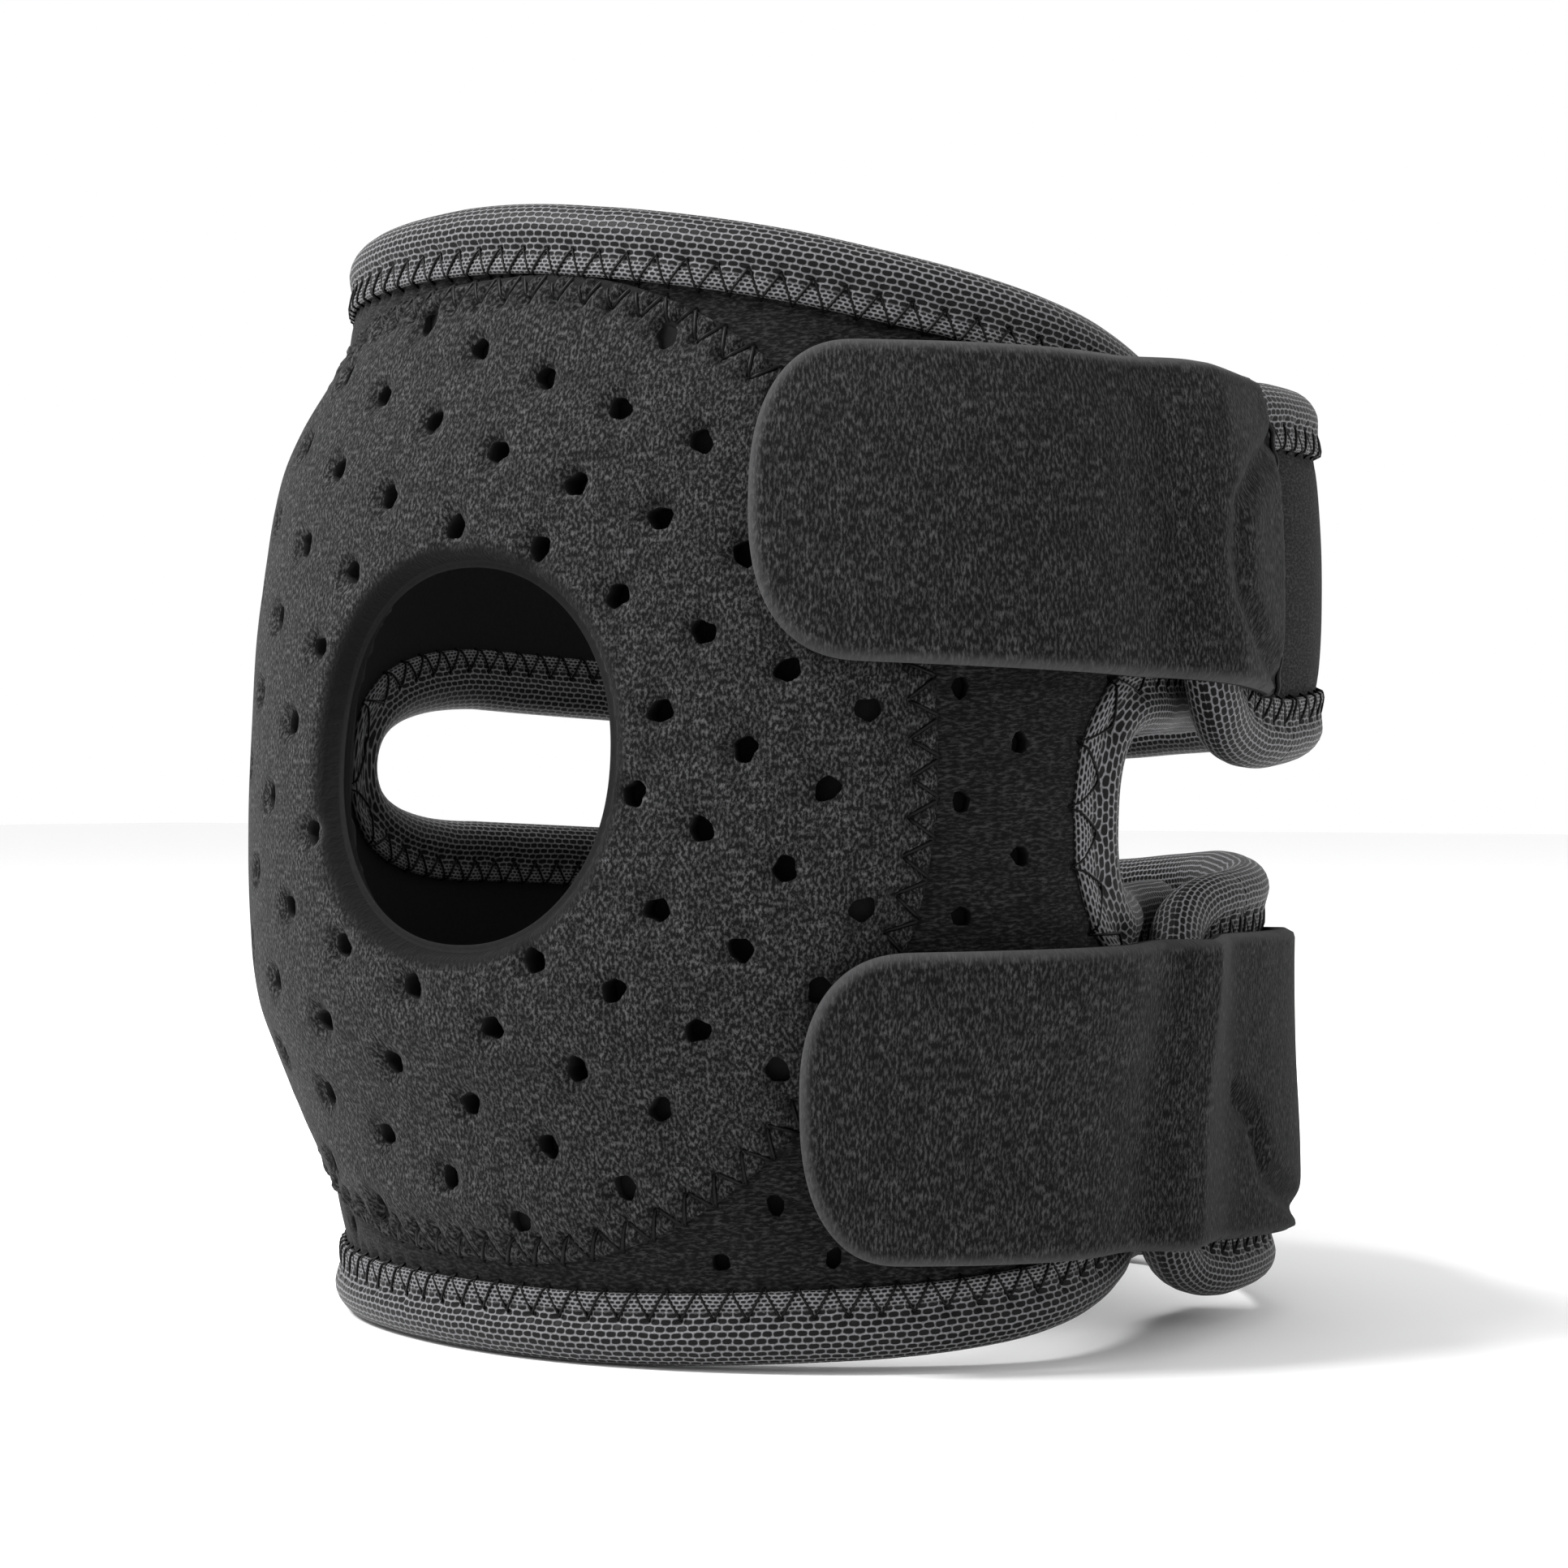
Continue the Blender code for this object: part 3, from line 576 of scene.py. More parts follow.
# Perforations of the cup. Those close to the opening move off its edge
def cup_holes():
    found = []
    middle = Vector(opening_centre)
    start = Vector((CUP_HALF_WIDTH * 0.463, CUP_CENTRE_HEIGHT + CUP_HALF_HEIGHT * 0.102))
    clear = 1 + (HOLE_ACROSS / 2 + HOLE_FROM_OPENING) / OPENING_HALF_WIDTH
    for i in range(-12, 13):
        for j in range(-12, 13):
            spot = start.copy()
            for row in LATTICE:
                spot += Vector((row["across"], row["up"])) * CUP_HOLE_PITCH * i ** row["i"] * j ** row["j"]
            away = float(reach(np.array(spot), opening_centre, opening_half, OPENING_CORNER_POWER))
            if cup_reach(np.array(spot), HOLE_FROM_CUP_EDGE) > 1 or away < clear - 0.12:
                continue
            if away < clear:
                spot = middle + (spot - middle) * clear / away
            found.append((spot.x, spot.y))
    return np.array(found)


# Perforations of the panel on both sides of the cup, a square lattice on its point
def panel_holes():
    found = []
    for i in range(-10, 12):
        for j in range(-1, 24):
            if (i + j) % 2:
                continue
            x = PANEL_HOLE_STEP * (0.567 * i - 0.425)
            y = OPENING_CENTRE_HEIGHT + PANEL_HOLE_STEP * (0.5 * j - 5.05)
            bearing = float(bearing_of(x))
            if cup_reach(np.array((x, y)), -PANEL_HOLE_FROM_CUP) < 1:
                continue
            low = bottom_at(bearing) + TAPE_WIDTH + HOLE_FROM_TAPE
            if y < low or y > top_at(bearing) - TAPE_WIDTH - HOLE_FROM_TAPE:
                continue
            if bearing < SLOT_BOTTOM + HOLE_FROM_SLOT or bearing > NOTCH_BOTTOM - HOLE_FROM_NOTCH:
                continue
            found.append((x, y))
    return np.array(found)


# Distance to a closed or open line in the flat, and the nearest point on it
def nearest_on(points, line, closed):
    ends = np.roll(line, -1, axis=0) if closed else line[1:]
    starts = line if closed else line[:-1]
    span = ends - starts
    long = np.maximum((span**2).sum(1), 1e-18)
    best = np.empty(len(points))
    spots = np.empty((len(points), 2))
    for k in range(0, len(points), 4000):
        here = points[k : k + 4000, None, :]
        t = np.clip(((here - starts) * span).sum(2) / long, 0, 1)
        near = starts + t[..., None] * span
        away = ((near - here) ** 2).sum(2)
        pick = away.argmin(1)
        best[k : k + 4000] = np.sqrt(away[np.arange(len(pick)), pick])
        spots[k : k + 4000] = near[np.arange(len(pick)), pick]
    return best, spots


def inside(points, line):
    ends = np.roll(line, -1, axis=0)
    found = np.zeros(len(points), bool)
    for (x0, y0), (x1, y1) in zip(line, ends):
        if y0 == y1:
            continue
        crosses = (y0 > points[:, 1]) != (y1 > points[:, 1])
        found ^= crosses & (points[:, 0] < (x1 - x0) * (points[:, 1] - y0) / (y1 - y0) + x0)
    return found


# Distance to the nearest of many spots
def near_spots(points, spots):
    best = np.full(len(points), 1.0)
    which = np.zeros(len(points), int)
    for k in range(0, len(points), 8000):
        here = points[k : k + 8000, None]
        away = np.hypot(here[..., 0] - spots[:, 0], here[..., 1] - spots[:, 1])
        which[k : k + 8000] = away.argmin(1)
        best[k : k + 8000] = away.min(1)
    return best, which


# Fibres stand into a punched hole, each hole its own way: share of its radius
def ragged(turn, which):
    wave = 0.09 * np.sin(2 * turn + 1.7 * which) + 0.07 * np.sin(3 * turn + 4.1 * which)
    return 0.96 + wave + 0.06 * np.sin(5 * turn + 2.3 * which)


# A flat sheet of cells cut to its outline, windows and punched holes, with its edge points drawn onto the cut
def cut_sheet(across, heights, outline, windows, spots, radius):
    bpy.ops.mesh.primitive_grid_add(x_subdivisions=len(across) - 1, y_subdivisions=len(heights) - 1, size=2)
    sheet = bpy.context.active_object
    co = np.empty(len(sheet.data.vertices) * 3)
    sheet.data.vertices.foreach_get("co", co)
    co = co.reshape(-1, 3)
    faces = np.empty(len(sheet.data.polygons) * 4, int)
    sheet.data.polygons.foreach_get("vertices", faces)
    faces = faces.reshape(-1, 4)
    mesh = sheet.data
    bpy.data.objects.remove(sheet)
    bpy.data.meshes.remove(mesh)
    column = np.round((co[:, 0] + 1) / 2 * (len(across) - 1)).astype(int)
    row = np.round((co[:, 1] + 1) / 2 * (len(heights) - 1)).astype(int)
    points = np.stack([np.asarray(across)[column], np.asarray(heights)[row]], axis=-1)
    best, nearest = nearest_on(points, outline, True)
    best = np.where(inside(points, outline), best, -best)
    for window in windows:
        away, spot = nearest_on(points, window, True)
        away = np.where(inside(points, window), -away, away)
        nearest = np.where((away < best)[:, None], spot, nearest)
        best = np.minimum(best, away)
    if len(spots):
        away, which = near_spots(points, spots)
        ray = points - spots[which]
        edge = radius * ragged(np.arctan2(ray[:, 1], ray[:, 0]), which)
        spot = spots[which] + ray / np.maximum(away, 1e-9)[:, None] * edge[:, None]
        nearest = np.where((away - edge < best)[:, None], spot, nearest)
        best = np.minimum(best, away - edge)
    keep = faces[best[faces].mean(1) > 0]
    edges = np.concatenate([keep[:, [0, 1]], keep[:, [1, 2]], keep[:, [2, 3]], keep[:, [3, 0]]])
    code = edges.min(1) * len(points) + edges.max(1)
    unique, counts = np.unique(code, return_counts=True)
    rim = np.unique(edges[np.isin(code, unique[counts == 1])])
    points[rim] = nearest[rim]
    used = np.unique(keep)
    free = np.zeros(len(points), bool)
    free[used] = True
    free[rim] = False
    free &= best < 2.5 * CUP_CELL
    first = unique // len(points)
    last = unique % len(points)
    for _ in range(3):
        total = np.zeros_like(points)
        number = np.zeros(len(points))
        np.add.at(total, first, points[last])
        np.add.at(total, last, points[first])
        np.add.at(number, first, 1)
        np.add.at(number, last, 1)
        points[free] = total[free] / number[free][:, None]
    renumber = np.full(len(points), -1)
    renumber[used] = np.arange(len(used))
    return points[used], renumber[keep]


def make_piece(name, points, faces, uvs, indices, materials, mark=None):
    mesh = bpy.data.meshes.new(name)
    mesh.from_pydata(points.tolist(), [], [list(map(int, face)) for face in faces])
    mesh.update()
    layer = mesh.uv_layers.new(name="cloth")
    loops = np.empty(len(mesh.loops), int)
    mesh.loops.foreach_get("vertex_index", loops)
    layer.data.foreach_set("uv", np.asarray(uvs, float)[loops].ravel())
    if mark is not None:
        mesh.attributes.new("mark", "FLOAT", "POINT").data.foreach_set("value", np.asarray(mark, np.float32))
    for material in materials:
        mesh.materials.append(material)
    mesh.polygons.foreach_set("material_index", np.asarray(indices, np.int32))
    mesh.polygons.foreach_set("use_smooth", np.ones(len(mesh.polygons), bool))
    made = bpy.data.objects.new(name, mesh)
    bpy.context.scene.collection.objects.link(made)
    return made


# A closed layer of cloth between an outer and an inner face, with a rounded cut edge
def shell(name, points, faces, outer, inner, materials, rings=3, mark=None, swell=None):
    count = len(points)
    top = outer(points)
    low = inner(points)
    edges = np.concatenate([faces[:, [k, (k + 1) % 4]] for k in range(4)])
    code = edges.min(1) * count + edges.max(1)
    unique, index, counts = np.unique(code, return_index=True, return_counts=True)
    border = edges[index[counts == 1]]
    rim = np.unique(border)
    place = np.full(count, -1)
    place[rim] = np.arange(len(rim))
    blocks = [top, low]
    flats = [points, points]
    push = swell(points[rim], top[rim], low[rim]) if swell else 0.0
    for k in range(rings):
        share = (k + 1) / (rings + 1)
        blocks.append(top[rim] * (1 - share) + low[rim] * share + push * math.sin(math.pi * share))
        flats.append(points[rim])
    marks = np.zeros(count) if mark is None else mark(points)
    marks = np.concatenate([marks, marks] + [marks[rim]] * rings)
    made_faces = [faces, faces[:, ::-1] + count]
    kinds = [np.zeros(len(faces), int), np.ones(len(faces), int)]
    levels = [border]
    for k in range(rings):
        levels.append(place[border] + 2 * count + k * len(rim))
    levels.append(border + count)
    for upper, lower in zip(levels[:-1], levels[1:]):
        made_faces.append(np.stack([upper[:, 1], upper[:, 0], lower[:, 0], lower[:, 1]], axis=-1))
        kinds.append(np.full(len(border), 2))
    return make_piece(
        name,
        np.concatenate(blocks) + PLAN_SHIFT,
        np.concatenate(made_faces),
        np.concatenate(flats),
        np.concatenate(kinds),
        materials,
        marks,
    )


# Height of a rounded edge: how far it drops at a distance from the cut
def round_off(distance, radius):
    t = 1 - np.clip(distance / radius, 0.0, 1.0)
    return radius * (1 - np.sqrt(1 - t * t))


def dent(distance, kind):
    depth, wide = DENTS[kind]
    return depth * np.exp(-((distance / wide) ** 2))


# Zigzag stitching along a run, turning at two depths from its edge
def zigzag(run, pitch, near, far, closed=False):
    points, _, into = spaced(run, pitch / 2, closed=closed)
    depth = np.where(np.arange(len(points)) % 2 == 0, near, far)
    return points + into * depth[:, None], depth


stitched = {
    "top": run_top,
    "slot": run_slot,
    "bottom": run_bottom,
    "notch": run_notch,
}
turns = [zigzag(run, STITCH_PITCH, STITCH_IN, STITCH_OFF)[0][1::2] for run in stitched.values()]
edge_dents = np.concatenate(turns)
cup_seam = zigzag(cup_outline, CUP_STITCH_PITCH, -0.4 * MM, CUP_STITCH_IN, closed=True)[0]


# Cup, outer and inner faces
def cup_top(points):
    distance = (1 - cup_reach(points)) * CUP_HALF_HEIGHT
    top = CUP_EDGE_RISE + (CUP_RISE - CUP_EDGE_RISE) * ease(0.0, CUP_LAP, distance)
    top = top - round_off(distance, 1.0 * MM) * 0.85
    away = near_spots(points, cup_spots)[0]
    top = top - dent(np.maximum(away - HOLE_SEEN / 2, 0.0), "cup_hole")
    edge = nearest_on(points, opening, True)[0]
    top = top - round_off(edge, CUP_LIP)
    close = distance < CUP_STITCH_IN + 2.5 * MM
    seam = np.full(len(points), 1.0)
    seam[close] = nearest_on(points[close], cup_seam, False)[0]
    lobe = ease(0.5 * MM, 1.7 * MM, seam) * dent(distance - 1.6 * MM, "cup_lobe")
    top = top + np.where(close, lobe, 0.0) - dent(seam, "cup_thread") * ease(-0.4 * MM, 0.6 * MM, distance)
    top = top - dent(near_spots(points, cup_seam[1::2])[0], "cup_needle")
    return top - dent(near_spots(points, edge_dents)[0], "cup_under_tape")


def cup_outer(points):
    return on_cloth(points, cup_top(points))


def cup_low(points):
    distance = (1 - cup_reach(points)) * CUP_HALF_HEIGHT
    dip = ease(CUP_LAP + 2 * MM, CUP_LAP + 10 * MM, distance)
    edge = nearest_on(points, opening, True)[0]
    return 0.12 * MM + (CUP_RISE - CUP_THICK - 0.12 * MM) * dip + round_off(edge, 1.9 * MM)


def cup_inner(points):
    return on_cloth(points, cup_low(points) + LINING_THICK + 0.05 * MM)


# The foam swells into the opening between its two faces
def lip_swell(spots, top, low):
    edge = nearest_on(spots, opening, True)[0]
    toward = np.array(opening_centre) - spots
    toward = toward / np.hypot(toward[:, 0], toward[:, 1])[:, None] * 0.4 * MM
    here = on_cloth(spots, 0.0)
    there = on_cloth(spots + toward, 0.0)
    return (there - here) * np.where(edge < 0.3 * MM, 2.2, 0.0)[:, None]


def lip_mark(points):
    return 1 - ease(0.9 * MM, 2.3 * MM, nearest_on(points, opening, True)[0])


def panel_outer(points):
    out = -dent(near_spots(points, panel_spots)[0] - PANEL_HOLE_ACROSS / 2, "panel_hole")
    out = out - dent(near_spots(points, edge_dents)[0], "panel_under_tape")
    return on_cloth(points, out)


def at_depth(out):
    return lambda points: on_cloth(points, out)


cup_spots = cup_holes()
panel_spots = panel_holes()


# sRGB hex to linear
def linear(code):
    parts = [int(code[k : k + 2], 16) / 255 for k in (0, 2, 4)]
    return [c / 12.92 if c <= 0.04045 else ((c + 0.055) / 1.055) ** 2.4 for c in parts] + [1.0]


# Adds a node with its settings and links
def add(tree, kind, inputs, **settings):
    node = tree.nodes.new("ShaderNode" + kind)
    for key, value in settings.items():
        setattr(node, key, value)
    for key, value in inputs.items():
        if isinstance(value, bpy.types.NodeSocket):
            tree.links.new(value, node.inputs[key])
        else:
            node.inputs[key].default_value = value
    return node.outputs


def new_material(name, roughness, ior):
    material = bpy.data.materials.new(name)
    material.use_nodes = True
    tree = material.node_tree
    shader = tree.nodes["Principled BSDF"]
    shader.inputs["Roughness"].default_value = roughness
    shader.inputs["IOR"].default_value = ior
    shader.inputs["Specular IOR Level"].default_value = CLOTH_GLOSS
    return material, tree, shader


# Brushed loop fleece over foam: fibres lie one way and catch the light in short streaks. Where a piece is marked,
# it takes the marked colour: plain and dark at the cup's lip, near black as painted shade under the cup's holes
# on the panel, and lighter as a painted highlight on the tabs' fuzzy cut edges
def fleece(name, dark, light, marked, across, along):
    material, tree, shader = new_material(name, 0.95, 1.45)
    shader.inputs["Sheen Weight"].default_value = 0.03
    uv = add(tree, "UVMap", {}, uv_map="cloth")["UV"]
    streak_at = add(tree, "Mapping", {"Vector": uv, "Scale": (1 / across, 1 / along, 1.0)})["Vector"]
    streak = add(tree, "TexNoise", {"Vector": streak_at, "Scale": 1.0, "Detail": 2.0, "Roughness": 0.6})
    clump_at = add(tree, "Mapping", {"Vector": uv, "Scale": (0.17 / across, 0.2 / along, 1.0)})["Vector"]
    clump = add(tree, "TexNoise", {"Vector": clump_at, "Scale": 1.0, "Detail": 2.0})
    share = add(tree, "MapRange", {"Value": streak["Fac"], "From Min": 0.45, "From Max": 0.70})["Result"]
    cloud = add(tree, "MapRange", {"Value": clump["Fac"], "From Min": 0.3, "From Max": 0.72})["Result"]
    base = add(tree, "Mix", {0: share, 6: linear(dark), 7: linear(light)}, data_type="RGBA")[2]
    deep = add(tree, "Mix", {0: cloud, 6: linear("b4b4b4"), 7: linear("ffffff")}, data_type="RGBA")[2]
    tinted = add(tree, "Mix", {0: 1.0, 6: base, 7: deep}, data_type="RGBA", blend_type="MULTIPLY")[2]
    mark = add(tree, "Attribute", {}, attribute_name="mark")["Fac"]
    colour = add(tree, "Mix", {0: mark, 6: tinted, 7: linear(marked)}, data_type="RGBA")[2]
    tree.links.new(colour, shader.inputs["Base Color"])
    bump = add(tree, "Bump", {"Height": streak["Fac"], "Strength": 0.7, "Distance": 0.3 * MM})
    tree.links.new(bump["Normal"], shader.inputs["Normal"])
    return material


# A plain material whose two colours run into each other in a fine grain: its depth sets how smooth it looks
def grained(name, roughness, dark, light, grain, depth):
    material, tree, shader = new_material(name, roughness, 1.48)
    at = add(tree, "TexCoord", {})["Object"]
    speck = add(tree, "TexNoise", {"Vector": at, "Scale": 1 / grain, "Detail": 2.0})["Fac"]
    colour = add(tree, "Mix", {0: speck, 6: linear(dark), 7: linear(light)}, data_type="RGBA")[2]
    tree.links.new(colour, shader.inputs["Base Color"])
    bump = add(tree, "Bump", {"Height": speck, "Strength": 0.35, "Distance": depth})
    tree.links.new(bump["Normal"], shader.inputs["Normal"])
    return material


# Warp knitted mesh: rows of long holes, each row half a hole along from the last. Gives 1 at a hole's edge and
# less inside
def net(tree, uv, dash, row, long_share, tall_share, corner):
    split = add(tree, "SeparateXYZ", {"Vector": uv})
    up = add(tree, "Math", {0: split["Y"], 1: row}, operation="DIVIDE")[0]
    level = add(tree, "Math", {0: up}, operation="FLOOR")[0]
    odd = add(tree, "Math", {0: level, 1: 2.0}, operation="FLOORED_MODULO")[0]
    passed = add(tree, "Math", {0: split["X"], 1: dash}, operation="DIVIDE")[0]
    along = add(tree, "Math", {0: odd, 1: 0.5, 2: passed}, operation="MULTIPLY_ADD")[0]
    total = 0.0
    for place, half in ((along, long_share), (up, tall_share)):
        part = add(tree, "Math", {0: place}, operation="FRACT")[0]
        middle = add(tree, "Math", {0: part, 1: 0.5}, operation="SUBTRACT")[0]
        away = add(tree, "Math", {0: middle}, operation="ABSOLUTE")[0]
        share = add(tree, "Math", {0: away, 1: half}, operation="DIVIDE")[0]
        raised = add(tree, "Math", {0: share, 1: corner}, operation="POWER")[0]
        total = add(tree, "Math", {0: raised, 1: total}, operation="ADD")[0]
    return total


# Woven mesh binding: light polyester threads over the dark foam edge that it wraps, and pressed to a finer net
# where the stitching holds it down
def mesh_tape(name, dash, row, long_share, tall_share):
    material, tree, shader = new_material(name, 0.55, 1.5)
    shader.inputs["Sheen Weight"].default_value = 0.03
    uv = add(tree, "UVMap", {}, uv_map="cloth")["UV"]
    wander = add(tree, "TexNoise", {"Vector": uv, "Scale": 1 / (4 * MM), "Detail": 2.0})["Color"]
    loose = add(tree, "VectorMath", {0: wander, "Scale": 0.55 * MM}, operation="SCALE")["Vector"]
    at = add(tree, "VectorMath", {0: uv, 1: loose}, operation="ADD")["Vector"]
    wide = net(tree, at, dash, row, long_share, tall_share, 3.0)
    fine = net(tree, at, dash * 0.6, row * 0.6, 0.36, 0.30, 2.4)
    up = add(tree, "SeparateXYZ", {"Vector": uv})["Y"]
    pressed = add(tree, "MapRange", {"Value": up, "From Min": 5.6 * MM, "From Max": 6.0 * MM})["Result"]
    thick = add(tree, "MapRange", {"Value": wide, "From Min": 0.8, "From Max": 1.6})["Result"]
    thin = add(tree, "MapRange", {"Value": fine, "From Min": 0.6, "From Max": 1.6})["Result"]
    lines = add(tree, "Mix", {0: pressed, 2: thick, 3: thin}, data_type="FLOAT")[0]
    speck = add(tree, "TexNoise", {"Vector": uv, "Scale": 1 / (0.25 * MM), "Detail": 1.0})["Fac"]
    yarn = add(tree, "Mix", {0: speck, 6: linear("363638"), 7: linear("7e7e80")}, data_type="RGBA")[2]
    colour = add(tree, "Mix", {0: lines, 6: linear("020203"), 7: yarn}, data_type="RGBA")[2]
    tree.links.new(colour, shader.inputs["Base Color"])
    bump = add(tree, "Bump", {"Height": lines, "Strength": 0.9, "Distance": 0.25 * MM})
    tree.links.new(bump["Normal"], shader.inputs["Normal"])
    return material


# Moulded hook tape: rows of stiff hooks too fine to see, drawn as raised dots
def hook_tape(name):
    material, tree, shader = new_material(name, 0.45, 1.5)
    uv = add(tree, "UVMap", {}, uv_map="cloth")["UV"]
    dots = net(tree, uv, 1.2 * MM, 1.0 * MM, 0.3, 0.3, 2.0)
    share = add(tree, "MapRange", {"Value": dots, "From Min": 1.3, "From Max": 0.6})["Result"]
    colour = add(tree, "Mix", {0: share, 6: linear("070707"), 7: linear("202020")}, data_type="RGBA")[2]
    tree.links.new(colour, shader.inputs["Base Color"])
    bump = add(tree, "Bump", {"Height": share, "Strength": 1.0, "Distance": 0.4 * MM})
    tree.links.new(bump["Normal"], shader.inputs["Normal"])
    return material


cup_fleece = fleece("cup_brushed_fleece", "0b0b0c", "4a4a4b", "0c0c0d", 0.34 * MM, 0.6 * MM)
# The panel's marked colour is painted shade under the cup's holes
panel_fleece = fleece("panel_brushed_fleece", "090909", "2f2f30", "020202", 1.0 * MM, 0.34 * MM)
# The tab's marked colour is a painted highlight on its fuzzy cut edges
tab_fleece = fleece("tab_brushed_loop", "0c0c0d", "3f3f40", "3a3a3b", 0.28 * MM, 0.9 * MM)
# Smooth knitted lining: plain and dark
smooth_lining = grained("smooth_knit_lining", 0.85, "0a0a0b", "161617", 0.5 * MM, 0.1 * MM)
# Cut or punched neoprene foam: closed cells too fine to see, dark with a faint speckle. It also covers the
# linings' outer faces, as painted shade seen through the holes
foam = grained("cut_neoprene_foam", 0.8, "040404", "0e0e0f", 0.4 * MM, 0.15 * MM)
# Bonded polyester thread, spun and waxed: black with a slight twist
thread = grained("bonded_black_thread", 0.5, "020202", "070707", 0.3 * MM, 0.05 * MM)
binding_mesh = mesh_tape("woven_binding_mesh", MESH_DASH, MESH_ROW, 0.41, 0.36)
notch_mesh = mesh_tape("stretched_binding_mesh", 1.1 * MM, MESH_ROW, 0.40, 0.38)
hooks = hook_tape("moulded_hook_tape")

# Elbow cup
cup_low_edge = CUP_CENTRE_HEIGHT - CUP_HALF_HEIGHT - MM
cup_high_edge = CUP_CENTRE_HEIGHT + CUP_HALF_HEIGHT + MM


def cup_sheet(cell, outline, spots, radius):
    cells_x = np.arange(-CUP_FAR_HALF_WIDTH - MM, CUP_HALF_WIDTH + MM, cell)
    cells_y = np.arange(cup_low_edge, cup_high_edge, cell)
    return cut_sheet(cells_x, cells_y, outline, [opening], spots, radius)


points, faces = cup_sheet(CUP_CELL, cup_outline, cup_spots, HOLE_SEEN / 2)
elbow_cup = shell(
    "elbow_cup_moulded",
    points,
    faces,
    cup_outer,
    cup_inner,
    [cup_fleece, smooth_lining, smooth_lining],
    rings=5,
    mark=lip_mark,
    swell=lip_swell,
)
# The cup's lining is left whole under the cup's holes: its outer face, seen through them, takes the near-black
# foam colour as painted shade for the holes' depth
points, faces = cup_sheet(LINING_CELL, cup_line(1.0 * MM, 130), [], 0.0)
cup_lining = shell(
    "elbow_cup_lining",
    points,
    faces,
    lambda p: on_cloth(p, cup_low(p) + LINING_THICK),
    lambda p: on_cloth(p, cup_low(p)),
    [foam, smooth_lining, smooth_lining],
    rings=1,
)

# Base panel, with finer cells where the front shows
fine = np.arange(flat_of(FINE_FROM), flat_of(FINE_TO), PANEL_CELL)
back = np.arange(flat_of(WING_TIP) - MM, fine[0] - MM, PANEL_CELL_BACK)
side = np.arange(fine[-1] + MM, flat_of(SHORT_WING_END) + 2.5 * MM, PANEL_CELL_BACK)
rows = np.arange(0.0, HEIGHT + MM, PANEL_CELL_TALL)
points, faces = cut_sheet(
    np.concatenate([back, fine, side]), rows, panel_outline, [cup_window], panel_spots, PANEL_HOLE_SEEN / 2
)
foam_back = at_depth(LINING_THICK + 0.05 * MM - PANEL_THICK)


# Where the cup's holes show the unpunched panel below, its colour goes near black: painted shade for the holes'
# depth
def painted_hole_shade_mark(points):
    away = near_spots(points, cup_spots)[0]
    return 1 - ease(HOLE_SEEN / 2 + 0.2 * MM, HOLE_SEEN / 2 + 0.7 * MM, away)


base_panel = shell(
    "base_panel_laminate",
    points,
    faces,
    panel_outer,
    foam_back,
    [panel_fleece, smooth_lining, foam],
    mark=painted_hole_shade_mark,
)
# The panel's lining is left whole under the panel's holes: its outer face, seen through them, takes the
# near-black foam colour as painted shade for the holes' depth
cells_x = np.arange(flat_of(WING_TIP) - MM, flat_of(SHORT_WING_END) + 2.5 * MM, LINING_CELL)
rows = np.arange(0.0, HEIGHT + MM, LINING_CELL)
points, faces = cut_sheet(cells_x, rows, panel_outline, [cup_window], [], 0.0)
panel_lining = shell(
    "base_panel_lining",
    points,
    faces,
    at_depth(LINING_THICK - PANEL_THICK),
    at_depth(-PANEL_THICK),
    [foam, smooth_lining, smooth_lining],
    rings=1,
)


# The next point round each ring
def turned(rings):
    return np.roll(rings, -1, axis=1)


# The tape's section, from its outer edge round its fold and back along its hidden faces
def tape_section():
    face = TAPE_GAP + TAPE_THICK
    side = [(row["in"] * TAPE_WIDTH, row["out"] * face) for row in TAPE_SIDE]
    radius = PANEL_THICK / 2 + face
    turn = np.radians(np.linspace(90, -90, 13))
    bend = [(radius - radius * math.cos(t), -PANEL_THICK / 2 + radius * math.sin(t)) for t in turn]
    other = [(depth, -PANEL_THICK - out) for depth, out in side[::-1]]
    hidden = [
        (TAPE_WIDTH * 0.96, -PANEL_THICK - 0.1 * MM),
        (TAPE_WIDTH * 0.2, -PANEL_THICK - 0.1 * MM),
        (TAPE_WIDTH * 0.2, 0.1 * MM),
        (TAPE_WIDTH * 0.96, 0.1 * MM),
    ]
    return np.array(side + bend + other + hidden)


